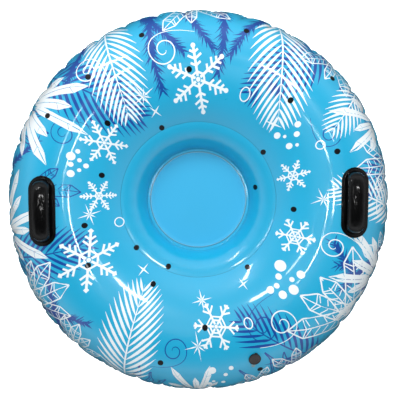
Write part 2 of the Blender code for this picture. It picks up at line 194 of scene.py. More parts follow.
def filmMaterial(name, colour, roughness, coat=0.0, coatRoughness=0.05, mottle=0.05, mottleScale=9.0,
                 spread=0.05, grainScale=420.0, grainDepth=0.00002, specular=0.5):
    material = bpy.data.materials.new(name)
    material.use_nodes = True
    tree = material.node_tree
    surface = addNode(tree, "ShaderNodeGroup", {
        "Colour": (*colour, 1.0), "Mottle": mottle, "Mottle Scale": mottleScale, "Roughness": roughness,
        "Roughness Spread": spread, "Grain Scale": grainScale}, node_tree=filmGroup)
    bump = addNode(tree, "ShaderNodeBump", {"Distance": grainDepth, "Height": surface["Height"]})
    setSockets(tree, tree.nodes["Principled BSDF"], {
        "Coat Weight": coat, "Coat Roughness": coatRoughness, "Specular IOR Level": specular,
        "Base Color": surface["Colour"], "Roughness": surface["Roughness"], "Normal": bump["Normal"]})
    return material


# The ring's two sheets. A sheet is drawn flat, as it is cut and printed, and then put on the inflated shape.

ring = {
    "outerRadius": 0.598, "outerWeld": 0.008, "height": 0.300, "crestRadius": 0.430,
    "tieRadius": 0.238, "tieHeight": 0.170, "rollBulge": 0.019, "seatRadius": 0.158,
    "seatWeld": 0.008, "weldGap": 0.0003, "seatSheet": 0.0009,
}
folds = {               # the large puckers of the outer weld
    "count": 42, "depth": 0.0115, "mean": 0.60, "side": 0.14, "ripple": 0.26, "rippleStep": 2.4,
    "deepest": 125.0, "reach": 0.120, "blunt": 1.3, "sharp": 6.0, "sharpShare": 0.6,
    "pillow": 0.0044, "pillowPlace": 0.030, "pillowWidth": 0.026,
    "drift": 0.046, "driftWaves": ((0.6, 5, 1.3), (0.4, 11, 0.4)), "driftInwards": (1.2, 7, 2.0),
}
smallFolds = {          # creases between them; width, reach and slant are drawn in this order
    "count": 130, "depth": 0.0056, "seed": 7, "offPlace": 0.4, "depthShare": (0.15, 1.0), "bias": 1.6,
    "mean": 0.65, "side": 0.45, "width": (0.005, 0.011), "reach": (0.025, 0.095), "slant": (-2.6, 2.6),
    "narrowing": 0.5, "sharpness": 1.5,
}
waves = {               # how far past the crease, the seat weld or the flat band they start, and are full
    "height": 0.0007, "rollHeight": 0.0004, "rollMean": 0.6, "seed": 19, "calmRoundValve": (0.040, 0.080),
    "pastTie": (0.015, 0.060), "beforeTie": (-0.030, -0.010), "pastSeat": (0.002, 0.030), "pastBand": 0.030,
    "finHeight": 0.0016, "finReach": 0.014, "finDroop": 0.0050, "droopFrom": -0.001,
    "broad": (6, (4, 15), (-26.0, 26.0)), "roll": (5, (9, 34), (-60.0, 60.0)),
    "fin": (7, (28, 110), (0.0, 0.0)),
}
topSheet = {"name": "topSheet", "side": 1, "thickness": 0.0006, "flatBand": 0.0}
bottomSheet = {"name": "bottomSheet", "side": -1, "thickness": 0.0009, "flatBand": 0.025}
joints = {joint["name"]: joint for joint in frame["record"]["behaviour"]["joints"]}
valveSpot = Vector(joints["core_turn"]["pos_m"])
valveReach = math.hypot(valveSpot.x, valveSpot.y)


def arcBetween(start, end, bulge, steps):       # stands out to the right of the way from start to end
    chord = end - start
    right = Vector((chord.y, -chord.x)).normalized()
    halfAngle = 2 * math.atan2(bulge, chord.length / 2)
    radius = chord.length / 2 / math.sin(halfAngle)
    centre = (start + end) / 2 - right * (radius - bulge)
    turns = [Matrix.Rotation(halfAngle * (2 * step / steps - 1), 2) for step in range(steps + 1)]
    return [centre + (turn @ right) * radius for turn in turns]


def shapeSheet(sheet, steps=500, samples=6000, softened=0.003):
    weldRise = ring["weldGap"] / 2 + sheet["thickness"]
    seatRise = ring["seatSheet"] / 2 + ring["weldGap"] + sheet["thickness"]
    crestRise = ring["height"] / 2
    rim = ring["outerRadius"] - ring["outerWeld"]
    innerCrest = ring["crestRadius"] - sheet["flatBand"]
    outerCrest = ring["crestRadius"] + sheet["flatBand"]
    tie = Vector((ring["tieRadius"], ring["tieHeight"] / 2))
    seat = Vector((ring["seatRadius"], seatRise))

    points = [Vector((ring["seatRadius"] - ring["seatWeld"], seatRise))]
    points += arcBetween(tie, seat, ring["rollBulge"], steps)[::-1]
    run = innerCrest - tie.x
    drop = crestRise - tie.y
    arcRadius = (run ** 2 + drop ** 2) / (2 * drop)
    arcAngle = math.atan2(run, arcRadius - drop)
    for angle in np.linspace(arcAngle, 0.0, steps)[1:]:
        points.append(Vector((innerCrest - arcRadius * math.sin(angle),
                              crestRise - arcRadius * (1 - math.cos(angle)))))
    for angle in np.linspace(0.0, math.pi / 2, steps)[0 if sheet["flatBand"] else 1:]:
        points.append(Vector((outerCrest + (rim - outerCrest) * math.sin(angle),
                              weldRise + (crestRise - weldRise) * math.cos(angle))))
    points.append(Vector((ring["outerRadius"], weldRise)))

    line = np.array(points)
    lengths = np.hypot(*np.diff(line, axis=0).T)
    flat = line[0, 0] + np.concatenate(([0.0], np.cumsum(lengths)))
    even = np.linspace(flat[0], flat[-1], samples)
    radius = np.interp(even, flat, line[:, 0])
    rise = np.interp(even, flat, line[:, 1])
    outR, outZ = -np.gradient(rise, even), np.gradient(radius, even)
    window = max(3, int(softened * samples / (flat[-1] - flat[0])))
    brush = np.ones(window) / window
    outR = np.convolve(np.pad(outR, window, "edge"), brush, "same")[window:-window]
    outZ = np.convolve(np.pad(outZ, window, "edge"), brush, "same")[window:-window]
    rimFlat = flat[-1] - ring["outerWeld"]
    outR[even > rimFlat - softened] = 1.0
    outZ[even > rimFlat - softened] = 0.0
    return {**sheet, "flat": even, "radius": radius, "rise": rise, "outR": outR, "outZ": outZ,
            "startFlat": flat[0], "seatFlat": flat[1], "tieFlat": flat[1 + steps],
            "rimFlat": rimFlat, "edgeFlat": flat[-1]}


def drawSmallFolds():
    draw = random.Random(smallFolds["seed"])
    found = []
    for number in range(smallFolds["count"]):
        place = number + draw.uniform(-smallFolds["offPlace"], smallFolds["offPlace"])
        angle = fullTurn * place / smallFolds["count"]
        side = 0.5 + 0.5 * math.cos(angle - math.radians(folds["deepest"]))
        depth = smallFolds["depth"] * draw.uniform(*smallFolds["depthShare"]) ** smallFolds["bias"]
        depth *= smallFolds["mean"] + smallFolds["side"] * side
        sizes = [draw.uniform(*smallFolds[size]) for size in ("width", "reach", "slant")]
        found.append((angle, depth, *sizes))
    return found


drawnFolds = drawSmallFolds()


def foldInset(angle, toRim):
    size, count, phase = folds["driftInwards"]
    drift = folds["drift"] * (rippleSum(angle, 0.0, [(a, b, 0.0, c) for a, b, c in folds["driftWaves"]])
                              + size * toRim / folds["reach"] * np.sin(count * angle + phase))
    place = ((angle + drift) / fullTurn % 1.0) * folds["count"]
    near = np.floor(place + 0.5) % folds["count"]
    apart = np.abs(place - np.floor(place + 0.5))
    fromDeepest = fullTurn * near / folds["count"] - math.radians(folds["deepest"])
    share = (folds["mean"] + folds["side"] * np.cos(fromDeepest)
             + folds["ripple"] * np.sin(folds["rippleStep"] * near))
    fade = np.cos(math.pi / 2 * np.clip(toRim / folds["reach"], 0.0, 1.0)) ** 2
    closeness = 1 - np.sin(math.pi * apart)
    sharpShare = folds["sharpShare"]
    notch = (1 - sharpShare) * closeness ** folds["blunt"] + sharpShare * closeness ** folds["sharp"]
    pillow = np.exp(-((toRim - folds["pillowPlace"]) / folds["pillowWidth"]) ** 2)
    inset = folds["depth"] * share * notch * fade
    inset -= folds["pillow"] * share * np.sin(math.pi * apart) * pillow
    for spot, depth, width, reach, slant in drawnFolds:
        aside = (angle - spot - slant * toRim + math.pi) % fullTurn - math.pi
        along = np.clip(toRim / reach, 0.0, 1.0)
        half = width * (1 - smallFolds["narrowing"] * along)
        groove = np.clip(1 - np.abs(aside) * ring["outerRadius"] / half, 0.0, 1.0)
        inset += depth * groove ** smallFolds["sharpness"] * np.cos(math.pi / 2 * along) ** 2
    return inset


def rippleSum(angle, flat, modes):
    total = np.zeros_like(angle)
    for size, turns, across, phase in modes:
        total += size * np.sin(turns * angle + across * flat + phase)
    return total


def makeModes(seed, count, roundRange, acrossRange):
    draw = random.Random(seed)
    modes = [(draw.uniform(0.5, 1.0), draw.randint(*roundRange), draw.uniform(*acrossRange),
              draw.uniform(0.0, fullTurn)) for _ in range(count)]
    total = sum(mode[0] for mode in modes)
    return [(size / total, *rest) for size, *rest in modes]


broadModes, rollModes, finModes = (
    makeModes(waves["seed"] + number, *waves[name]) for number, name in enumerate(("broad", "roll", "fin")))


def sheetPoints(shape, flatSpots):
    flat, angle = toPolar(flatSpots)
    radius, rise, outR, outZ = (np.interp(flat, shape["flat"], shape[name])
                                for name in ("radius", "rise", "outR", "outZ"))
    toRim = shape["rimFlat"] - flat

    def between(place, steps):
        return smoothStep(flat, *(shape[place] + step for step in steps))

    fromValve = np.hypot(radius * np.cos(angle) - valveSpot.x, radius * np.sin(angle) - valveSpot.y)
    broad = between("tieFlat", waves["pastTie"]) * smoothStep(fromValve, *waves["calmRoundValve"])
    if shape["flatBand"]:
        fromBand = np.abs(radius - ring["crestRadius"])
        broad *= smoothStep(fromBand, shape["flatBand"], shape["flatBand"] + waves["pastBand"])
    onRoll = between("seatFlat", waves["pastSeat"]) * (1 - between("tieFlat", waves["beforeTie"]))
    out = waves["height"] * broad * rippleSum(angle, flat, broadModes)
    out += waves["rollHeight"] * onRoll * (waves["rollMean"] + rippleSum(angle, flat, rollModes))
    out -= foldInset(angle, toRim)

    height = ring["height"] / 2 + shape["side"] * (rise + outZ * out)
    onFin = np.exp(-(np.clip(toRim, 0, 1) / waves["finReach"]) ** 2)
    height += waves["finHeight"] * rippleSum(angle, flat, finModes) * onFin
    height -= waves["finDroop"] * smoothStep(-toRim, waves["droopFrom"], ring["outerWeld"])
    return np.column_stack((fromPolar(radius + outR * out, angle), height))


def sheetNormals(shape, flatSpots, step=0.0008, turn=0.0016):
    flat, angle = toPolar(flatSpots)

    def at(flatStep, turnStep):
        return sheetPoints(shape, fromPolar(flat + flatStep, angle + turnStep))

    outwards = at(step, 0.0) - at(-step, 0.0)
    sideways = at(0.0, turn) - at(0.0, -turn)
    normals = np.cross(outwards, sideways) * shape["side"]
    return normals / np.linalg.norm(normals, axis=1)[:, None]


def spotOnSheet(shape, radius, degrees):        # where a spot on the tube lies on the flat sheet
    outside = shape["flat"] > shape["tieFlat"]
    flat = np.interp(radius, shape["radius"][outside], shape["flat"][outside])
    if radius < ring["tieRadius"]:
        inside = ~outside
        flat = np.interp(radius, np.maximum.accumulate(shape["radius"][inside]), shape["flat"][inside])
    turn = math.radians(degrees)
    return np.array((flat * math.cos(turn), flat * math.sin(turn)))


def valveOnSheet(shape):
    return spotOnSheet(shape, valveReach, math.degrees(math.atan2(valveSpot.y, valveSpot.x)))


# The print: frost, ice and snow in white and royal blue. Every motif is a list of outlines drawn along +X.

def ribbon(points, widths):
    line = np.array(points, float)
    widths = np.broadcast_to(np.array(widths, float), (len(line),))
    along = np.gradient(line, axis=0)
    along /= np.linalg.norm(along, axis=1)[:, None]
    aside = np.column_stack((-along[:, 1], along[:, 0])) * widths[:, None] / 2
    return np.concatenate((line - aside, (line + aside)[::-1]))


def bar(start, end, width):
    return ribbon([start, end], width)


def disc(x, y, radius, sides):
    return fromPolar(radius, np.arange(sides) * fullTurn / sides) + (x, y)


def moved(outlines, degrees, size=1.0, x=0.0, y=0.0):
    turn = math.radians(degrees)
    spin = np.array(((math.cos(turn), math.sin(turn)), (-math.sin(turn), math.cos(turn)))) * size
    return [np.asarray(outline) @ spin + (x, y) for outline in outlines]


def needle(length, width, widest):
    return np.array(((0.0, 0.0), (length * widest, -width / 2), (length, 0.0), (length * widest, width / 2)))


def blade(length, width, bend, widest=0.4, steps=7):
    share = np.linspace(0.0, 1.0, steps)
    path = np.column_stack((length * share, length * bend * share ** 2))
    spread = np.sin(math.pi * share ** (math.log(0.5) / math.log(widest))) ** 0.85
    return ribbon(path, np.maximum(width * spread, 0.0006))


def frostPlume(length, pairs, barb, width, bend, lean=54.0):
    outlines = [blade(length, 0.0062, bend * 0.5, 0.30, 9)]
    for number in range(pairs):
        share = (number + 0.5) / pairs
        reach = barb * math.sin(math.pi * (0.22 + 0.74 * share)) ** 0.75
        x, y = length * 0.97 * share, length * bend * 0.5 * (0.97 * share) ** 2
        for side in (1, -1):
            turn = side * (lean - 22 * share) + math.degrees(bend * share)
            outlines += moved([blade(reach, width * (1 - 0.35 * share), -side * 0.10)], turn, 1.0, x, y)
    return outlines


def hoarTwig(length, seed, needleLength, bend=0.25, width=0.0050):
    draw = random.Random(seed)
    steps = np.linspace(0.0, 1.0, 9)
    outlines = [ribbon(np.column_stack((length * steps, length * bend * steps ** 2)),
                       0.016 * (1 - 0.75 * steps) + 0.002)]
    count = int(length / 0.0031)
    for number in range(count):
        share = (number + draw.uniform(0.0, 0.8)) / count
        side = 1 if number % 2 else -1
        turn = math.degrees(2 * bend * share) + side * draw.uniform(18, 50)
        size = needleLength * draw.uniform(0.62, 1.15) * (1 - 0.40 * share)
        outlines += moved([needle(size, width, 0.3)], turn, 1.0, length * share, length * bend * share ** 2)
    return outlines


def iceBurst(count, spread, reach, width, seed):        # pointed shards, each of five facets
    draw = random.Random(seed)
    outlines = []
    for number in range(count):
        turn = spread * (number / (count - 1) - 0.5) + draw.uniform(-3, 3)
        far = reach * (1.0 if number % 2 else 0.70) * draw.uniform(0.88, 1.05)
        near = far * draw.uniform(0.14, 0.22)
        size = np.array((far - near, width / 2 * draw.uniform(0.85, 1.10)))
        base, tip, low, high = (0.0, 0.0), (1.0, 0.0), (0.15, 0.0), (0.70, 0.14)
        left, farLeft, right, farRight = (0.24, -0.80), (0.76, -1.0), (0.20, 0.85), (0.82, 0.74)
        for corners in ((base, left, farLeft, high, low), (farLeft, tip, high), (tip, farRight, high),
                        (farRight, right, low, high), (right, base, low)):
            facet = np.array(corners) * size + (near, 0.0)
            middle = facet.mean(axis=0)
            outlines += moved([middle + (facet - middle) * (0.985, 0.89)], turn)
    return outlines


def bubble(radius, line, flat=1.0):
    angles = np.linspace(0.0, math.pi, 13)
    arc = np.column_stack((radius * np.cos(angles), radius * flat * np.sin(angles)))
    return [ribbon(arc, line), ribbon(-arc, line)]


def crystal(length, width, line):
    half = width / 2
    ends = [(0.0, 0.0), (length * 0.16, -half), (length * 0.78, -half * 0.92), (length, 0.0),
            (length * 0.80, half * 0.92), (length * 0.20, half)]
    outlines = [bar(a, b, line) for a, b in zip(ends, ends[1:] + ends[:1])]
    ridge = [(length * 0.22, -half * 0.08), (length * 0.74, half * 0.10)]
    outlines.append(bar(*ridge, line * 0.8))
    for corner, knot in ((ends[1], ridge[0]), (ends[5], ridge[0]), (ends[2], ridge[1]), (ends[4], ridge[1]),
                         (ends[0], ridge[0]), (ends[3], ridge[1])):
        outlines.append(bar(corner, knot, line * 0.75))
    for number in range(4):             # short strokes across both sides
        share = 0.28 + 0.13 * number
        for stroke in (((0.0, 0.14), (0.09, 0.84)), ((0.02, -0.16), (0.07, -0.80))):
            start, end = ((length * (share + along), half * across) for along, across in stroke)
            outlines.append(bar(start, end, line * 0.7))
    return outlines


def crystalCluster(seed, count, length, line):
    draw = random.Random(seed)
    outlines = []
    for number in range(count):
        turn = 84 * (number / (count - 1) - 0.5) + draw.uniform(-6, 6)
        size = draw.uniform(0.66, 1.0)
        outlines += moved(crystal(length, length * 0.30, line / size), turn, size, 0.006, 0.0)
    return outlines


def windCurl(size, line, turns=1.6):
    steps = np.linspace(0.0, 1.0, 44)
    curl = fromPolar(size * 0.5 * (1 - 0.86 * steps), steps * turns * fullTurn)
    back = np.arange(8, 0, -1)
    tail = np.column_stack((curl[0, 0] - 0.013 * size * back ** 2, curl[0, 1] - 0.13 * size * back))
    path = np.concatenate((tail, curl))
    widths = line * np.sin(math.pi * np.linspace(0.04, 0.97, len(path))) ** 0.5
    cut = len(path) // 2
    return [ribbon(path[:cut + 1], widths[:cut + 1]), ribbon(path[cut:], widths[cut:])]


def icicles(seed, count, length, gap, line):            # wavy outlines that run to a point
    draw = random.Random(seed)
    outlines = []
    steps = np.linspace(0.0, 1.0, 15)
    for number in range(count):
        reach = length * draw.uniform(0.6, 1.0)
        shift = gap * (number - (count - 1) / 2)
        sway = draw.uniform(0.0, fullTurn)
        middle = shift + 0.006 * np.sin(9 * steps + sway)
        half = gap * 0.34 * (1 - steps) ** 0.8 * (1 + 0.34 * np.sin(15 * steps + sway)) + 0.0006
        outlines.append(ribbon(np.column_stack((reach * steps, middle + half)), line))
        outlines.append(ribbon(np.column_stack((reach * steps, middle - half)), line))
        core = steps[3:11]
        outlines.append(ribbon(np.column_stack((reach * core, middle[3:11] + half[3:11] * 0.25)), line * 0.7))
    return outlines


def snowballs(seed, count, reach, largest):
    draw = random.Random(seed)
    found = []
    for _ in range(60):
        if len(found) == count:
            break
        radius = largest * draw.uniform(0.4, 1.0)
        x, y = draw.uniform(-reach, reach), draw.uniform(-reach, reach)
        if all(math.hypot(x - a, y - b) > radius + c + 0.004 for a, b, c in found):
            found.append((x, y, radius))
    return [disc(x, y, radius, 20) for x, y, radius in found]


def star(size, waist=0.16, points=4):
    corners = np.arange(points * 2)
    return [fromPolar(np.where(corners % 2 == 0, size / 2, size / 2 * waist), corners * math.pi / points)]


def twinkle(size, rays=8, line=0.0030):
    outlines = []
    for number in range(rays):
        length = size / 2 * (1.0 if number % 2 == 0 else 0.58)
        outlines += moved([needle(length, line * 1.6, 0.3)], 360 * number / rays + 12)
    return outlines


def snowflake(size, line, style):
    reach = size / 2
    arm = [bar((reach * 0.10, 0), (reach, 0), line)]

    def twig(share, length, turn):
        return moved([bar((0, 0), (reach * length, 0), line * 0.86)], turn, 1.0, reach * share, 0)

    def hubSide(share, height, weight):
        return bar((reach * share, 0), (reach * share / 2, reach * height), line * weight)

    if style == 0:
        for share, length in ((0.42, 0.20), (0.62, 0.27), (0.82, 0.17)):
            arm += twig(share, length, 60) + twig(share, length, -60)
        arm.append(disc(reach * 1.04, 0, line * 0.95, 10))
        hub = [hubSide(0.24, 0.2078, 0.8)]
    elif style == 1:
        for share, length in ((0.50, 0.30), (0.72, 0.22)):
            arm += twig(share, length, 52) + twig(share, length, -52)
        arm += moved([needle(reach * 0.2, line * 2.4, 0.5)], 0, 1.0, reach * 0.94, 0)
        hub = [hubSide(0.34, 0.2944, 0.8)]
    else:
        for turn in (45, -45):
            arm += twig(0.56, 0.34, turn) + twig(0.84, 0.16, turn)
        hub = [hubSide(0.28, 0.2425, 0.8), hubSide(0.44, 0.381, 0.7)]
    outlines = [disc(0, 0, line * 0.9, 12)]
    for number in range(6):
        outlines += moved(arm + hub, 60 * number)
    return outlines


# What is printed: ink and motif, then for each one its own sizes, in the order that the motif takes them,
# its radius on the tube, the angle round it, and how far it leans from the way to the middle.
inks = ("vinyl", "white", "royal", "black", "weld", "crease", "fin")
printedMotifs = [
    ("royal", frostPlume, (
        ((0.42, 15, 0.170, 0.0135, 0.14), 0.596, 141, 10),
        ((0.37, 14, 0.150, 0.0125, -0.12), 0.596, 49, -14),
        ((0.36, 13, 0.145, 0.0120, 0.12), 0.596, -53, 20),
        ((0.34, 13, 0.140, 0.0120, 0.10), 0.596, -163, -10),
        ((0.26, 11, 0.110, 0.0105, -0.12), 0.596, 12, 24))),
    ("royal", hoarTwig, (
        ((0.33, 1, 0.062), 0.592, 103, -20), ((0.29, 2, 0.058, -0.25), 0.592, 84, 18),
        ((0.27, 12, 0.056, 0.10), 0.592, 109, 20), ((0.24, 16, 0.052, 0.30), 0.592, 95, 6),
        ((0.25, 14, 0.052, 0.2), 0.592, 68, -30), ((0.24, 17, 0.052, -0.2), 0.592, 124, -34),
        ((0.26, 3, 0.052), 0.594, -13, 30), ((0.27, 4, 0.056, -0.25), 0.594, -29, -6),
        ((0.22, 13, 0.046, 0.15), 0.594, -20, 4), ((0.26, 5, 0.052), 0.594, -134, 30),
        ((0.24, 6, 0.050, -0.25), 0.594, -147, -24), ((0.20, 15, 0.044, 0.2), 0.594, 171, 22))),
    ("royal", crystalCluster, (
        ((22, 3, 0.150, 0.0036), 0.505, 176, 4), ((24, 3, 0.160, 0.0036), 0.596, 30, 4))),
    ("royal", icicles, (
        ((31, 4, 0.22, 0.052, 0.0044), 0.590, -67, 6), ((32, 3, 0.17, 0.048, 0.0040), 0.594, -106, -6),
        ((33, 3, 0.20, 0.048, 0.0040), 0.594, 157, 4))),
    ("royal", windCurl, (
        ((0.105, 0.0038), 0.43, -63, 60), ((0.085, 0.0034), 0.45, 154, 150),
        ((0.090, 0.0036), 0.46, -99, 240), ((0.080, 0.0034), 0.44, 26, 40))),
    ("white", crystalCluster, (
        ((1, 4, 0.270, 0.0050), 0.585, -37, 0), ((2, 3, 0.190, 0.0042), 0.596, 92, 4),
        ((3, 4, 0.220, 0.0042), 0.596, 10, 12), ((4, 3, 0.180, 0.0040), 0.594, -60, -14),
        ((5, 4, 0.215, 0.0042), 0.596, -149, 4), ((6, 3, 0.185, 0.0040), 0.596, 45, 6),
        ((7, 4, 0.190, 0.0040), 0.594, -131, -4), ((8, 3, 0.120, 0.0036), 0.594, -72, 20),
        ((9, 3, 0.170, 0.0040), 0.596, -19, -6))),
    ("white", frostPlume, (
        ((0.38, 15, 0.155, 0.0122, -0.12), 0.596, 119, -8),
        ((0.41, 15, 0.170, 0.0130, 0.12), 0.596, 66, 18),
        ((0.39, 15, 0.160, 0.0124, -0.10), 0.596, -112, 12),
        ((0.29, 12, 0.120, 0.0110, 0.10), 0.596, -4, -18),
        ((0.25, 11, 0.105, 0.0100, 0.10), 0.596, 35, 14))),
    ("white", iceBurst, (
        ((7, 100, 0.31, 0.042, 3), 0.594, 151, 0), ((6, 104, 0.25, 0.036, 4), 0.594, -171, 4),
        ((5, 84, 0.23, 0.034, 5), 0.594, 23, -6), ((6, 96, 0.25, 0.036, 6), 0.592, -23, 6),
        ((5, 84, 0.19, 0.030, 7), 0.594, -90, 8))),
    ("white", windCurl, (
        ((0.110, 0.0042), 0.46, 103, 215), ((0.100, 0.0042), 0.45, -56, 210),
        ((0.095, 0.0040), 0.51, 131, 120), ((0.090, 0.0040), 0.43, -19, 300))),
    ("white", snowballs, (
        ((2, 8, 0.050, 0.020), 0.372, -43, 20), ((3, 7, 0.050, 0.016), 0.400, 163, 0),
        ((4, 6, 0.045, 0.014), 0.540, -83, 0), ((5, 6, 0.040, 0.014), 0.335, 34, 0))),
    ("white", bubble, (
        ((0.022, 0.0038, 0.75), 0.345, 66, 10), ((0.014, 0.0036), 0.400, 24, 0),
        ((0.017, 0.0036, 0.8), 0.400, -68, 0), ((0.016, 0.0036), 0.250, -164, 0))),
    ("white", snowflake, (
        ((0.200, 0.0086, 0), 0.360, 90, 10), ((0.140, 0.0066, 1), 0.330, 149, 25),
        ((0.190, 0.0082, 1), 0.375, -151, 0), ((0.130, 0.0060, 2), 0.312, -21, 12),
        ((0.155, 0.0068, 2), 0.385, -82, 20), ((0.105, 0.0052, 0), 0.300, 178, 5),
        ((0.100, 0.0052, 1), 0.295, 14, 0))),
    ("white", star, (
        ((0.064,), 0.320, 45, 20), ((0.054,), 0.270, -128, 0), ((0.052,), 0.295, 116, 30),
        ((0.048,), 0.290, -62, 10))),
    ("white", twinkle, (
        ((0.095,), 0.350, 118, 0), ((0.085,), 0.375, 0, 10), ((0.100,), 0.440, -90, 0),
        ((0.080,), 0.330, -172, 0), ((0.075,), 0.305, -88, 0))),
]
dots = {
    "radius": 0.0098,
    "places": [(0.495, 132), (0.525, 109), (0.390, 94), (0.520, 151), (0.355, 140), (0.245, 117),
               (0.300, 166), (0.530, 74), (0.550, 42), (0.405, 47), (0.245, 36), (0.440, 19), (0.180, 12),
               (0.290, -6), (0.255, -54), (0.385, -87), (0.505, -103), (0.290, -118), (0.225, -114),
               (0.240, -142), (0.350, -167), (0.385, -149), (0.585, -164), (0.550, -70)],
}
printRoom = {"clearOfValve": 0.030, "offSeatWeld": 0.003, "ontoFin": 0.0038}


def layOutPrint(shape):
    valveFlat = valveOnSheet(shape)
    found = []
    for ink, motif, rows in printedMotifs:
        for sizes, radius, degrees, lean in rows:
            spot = spotOnSheet(shape, radius, degrees)
            found += [(ink, outline) for outline in moved(motif(*sizes), degrees + 180 + lean, 1.0, *spot)]
    for radius, degrees in dots["places"]:
        found.append(("black", disc(*spotOnSheet(shape, radius, degrees), dots["radius"], 24)))
    low, high = shape["seatFlat"] + printRoom["offSeatWeld"], shape["rimFlat"] + printRoom["ontoFin"]
    kept = []
    for ink, outline in found:
        if np.hypot(*(outline - valveFlat).T).min() < printRoom["clearOfValve"]:
            continue
        reach = np.hypot(*outline.T)
        outline = outline * (np.clip(reach, low, high) / reach)[:, None]
        following = np.roll(outline, -1, axis=0)
        area = np.sum(outline[:, 0] * following[:, 1] - following[:, 0] * outline[:, 1])
        kept.append((ink, outline if area > 0 else outline[::-1]))
    return kept


# Turning a flat sheet into a closed body

meshSteps = {           # how close the rings of points are, and how many points each has
    "fineZone": 0.125, "fineMargin": 0.001, "fineStep": 0.0046, "coarseStep": 0.0094, "fineRound": 830,
    "middleRound": 384, "innerRound": 256, "middleFrom": 0.33, "creaseHalf": 0.0012, "weldLine": 0.0015,
    "finLine": 0.004, "holeRadius": 0.0168, "holeSides": 32, "snap": 1e-7, "atEdge": 1e-5,
}
lining = {              # the inner wall: coarser, and a little deeper behind the folds
    "step": 0.0135, "extraDepth": 0.0024, "deepFrom": (0.0, 0.012), "deepTo": (0.12, 0.15),
    "nearRim": (0.004, 0.0, -0.003, -0.006, -0.012), "firstRing": 0.022, "lastRing": 0.010, "fewest": 60,
}
flatMap = {"reach": 0.745, "liningSize": 0.19, "edgeSize": 1.002}


def ringCount(shape, flat):
    if shape["rimFlat"] - flat < meshSteps["fineZone"]:
        return meshSteps["fineRound"]
    return meshSteps["middleRound" if flat > meshSteps["middleFrom"] else "innerRound"]


def ringOfPoints(flat, count, shift=0.0):
    return fromPolar(flat, (np.arange(count) + shift) * fullTurn / count)


class FlatSheet:
    def __init__(self):
        self.points, self.edges, self.faces, self.total = [], [], [], 0

    def add(self, points, closed=False, face=False):
        ids = list(range(self.total, self.total + len(points)))
        self.points.append(points)
        self.total += len(points)
        if face:
            self.faces.append(ids)
        elif closed:
            self.edges += list(zip(ids, ids[1:] + ids[:1]))
        return ids

    def cut(self, loops):               # points, triangles, what each lies in, and the loops' new numbers
        vectors = [Vector(spot) for spot in np.concatenate(self.points).tolist()]
        verts, _, triangles, fromVerts, _, fromFaces = delaunay_2d_cdt(
            vectors, self.edges, self.faces, 0, meshSteps["snap"])
        newPlace = {origin: number for number, origins in enumerate(fromVerts) for origin in origins}
        loops = {name: [newPlace[number] for number in ids] for name, ids in loops.items()}
        return np.array([tuple(v) for v in verts]), triangles, fromFaces, loops


def holeRing(shape):
    spot = valveOnSheet(shape)
    turns = np.arange(meshSteps["holeSides"]) * fullTurn / meshSteps["holeSides"]
    out, aside = meshSteps["holeRadius"] * np.cos(turns), meshSteps["holeRadius"] * np.sin(turns)
    return fromPolar(np.hypot(*spot) + out, math.atan2(spot[1], spot[0]) + aside / valveReach)


def cutFront(shape, outlines, withHole):        # the wall that shows: rings of points, and the motifs
    start, edge, rim = shape["startFlat"], shape["edgeFlat"], shape["rimFlat"]
    marks = [start, start + meshSteps["weldLine"],
             shape["seatFlat"] - meshSteps["weldLine"], shape["seatFlat"],
             shape["tieFlat"] - meshSteps["creaseHalf"], shape["tieFlat"] + meshSteps["creaseHalf"],
             rim - meshSteps["fineZone"], rim, rim + meshSteps["finLine"], edge]
    front = FlatSheet()
    loops = {}
    for low, high in zip(marks, marks[1:]):
        loops[low] = front.add(ringOfPoints(low, ringCount(shape, low)), closed=True)
        fine = rim - high < meshSteps["fineZone"] - meshSteps["fineMargin"]
        steps = max(1, round((high - low) / meshSteps["fineStep" if fine else "coarseStep"]))
        for step in range(1, steps):
            flat = low + (high - low) * step / steps
            front.add(ringOfPoints(flat, ringCount(shape, flat), 0.5 * (step % 2)))
    loops[edge] = front.add(ringOfPoints(edge, meshSteps["fineRound"]), closed=True)
    ends = {"outer": loops[edge], "inner": loops[start]}
    inkOf = [inks.index(ink) for ink, _ in outlines]
    for _, outline in outlines:
        front.add(outline, face=True)
    if withHole:
        ends["hole"] = front.add(holeRing(shape), face=True)
        inkOf.append(-1)
    return inkOf, *front.cut(ends)


def cutLining(shape, ends):
    back = FlatSheet()
    loops = {name: back.add(spots, closed=name != "hole", face=name == "hole")
             for name, spots in ends.items()}
    for step in lining["nearRim"]:
        back.add(ringOfPoints(shape["rimFlat"] + step, meshSteps["fineRound"]))
    flat = shape["rimFlat"] - lining["firstRing"]
    while flat > shape["startFlat"] + lining["lastRing"]:
        back.add(ringOfPoints(flat, max(lining["fewest"], round(fullTurn * flat / lining["step"]))))
        flat -= lining["step"]
    for extra in (shape["seatFlat"], shape["tieFlat"]):
        back.add(ringOfPoints(extra, meshSteps["innerRound"]))
    return back.cut(loops)


def plainPlace(shape, middle):          # what a place with no motif is, by how far out it lies
    if middle < shape["startFlat"] + meshSteps["weldLine"]:
        return inks.index("weld")
    if abs(middle - shape["tieFlat"]) < meshSteps["creaseHalf"]:
        return inks.index("crease")
    return inks.index("fin" if middle > shape["rimFlat"] + meshSteps["finLine"] else "vinyl")


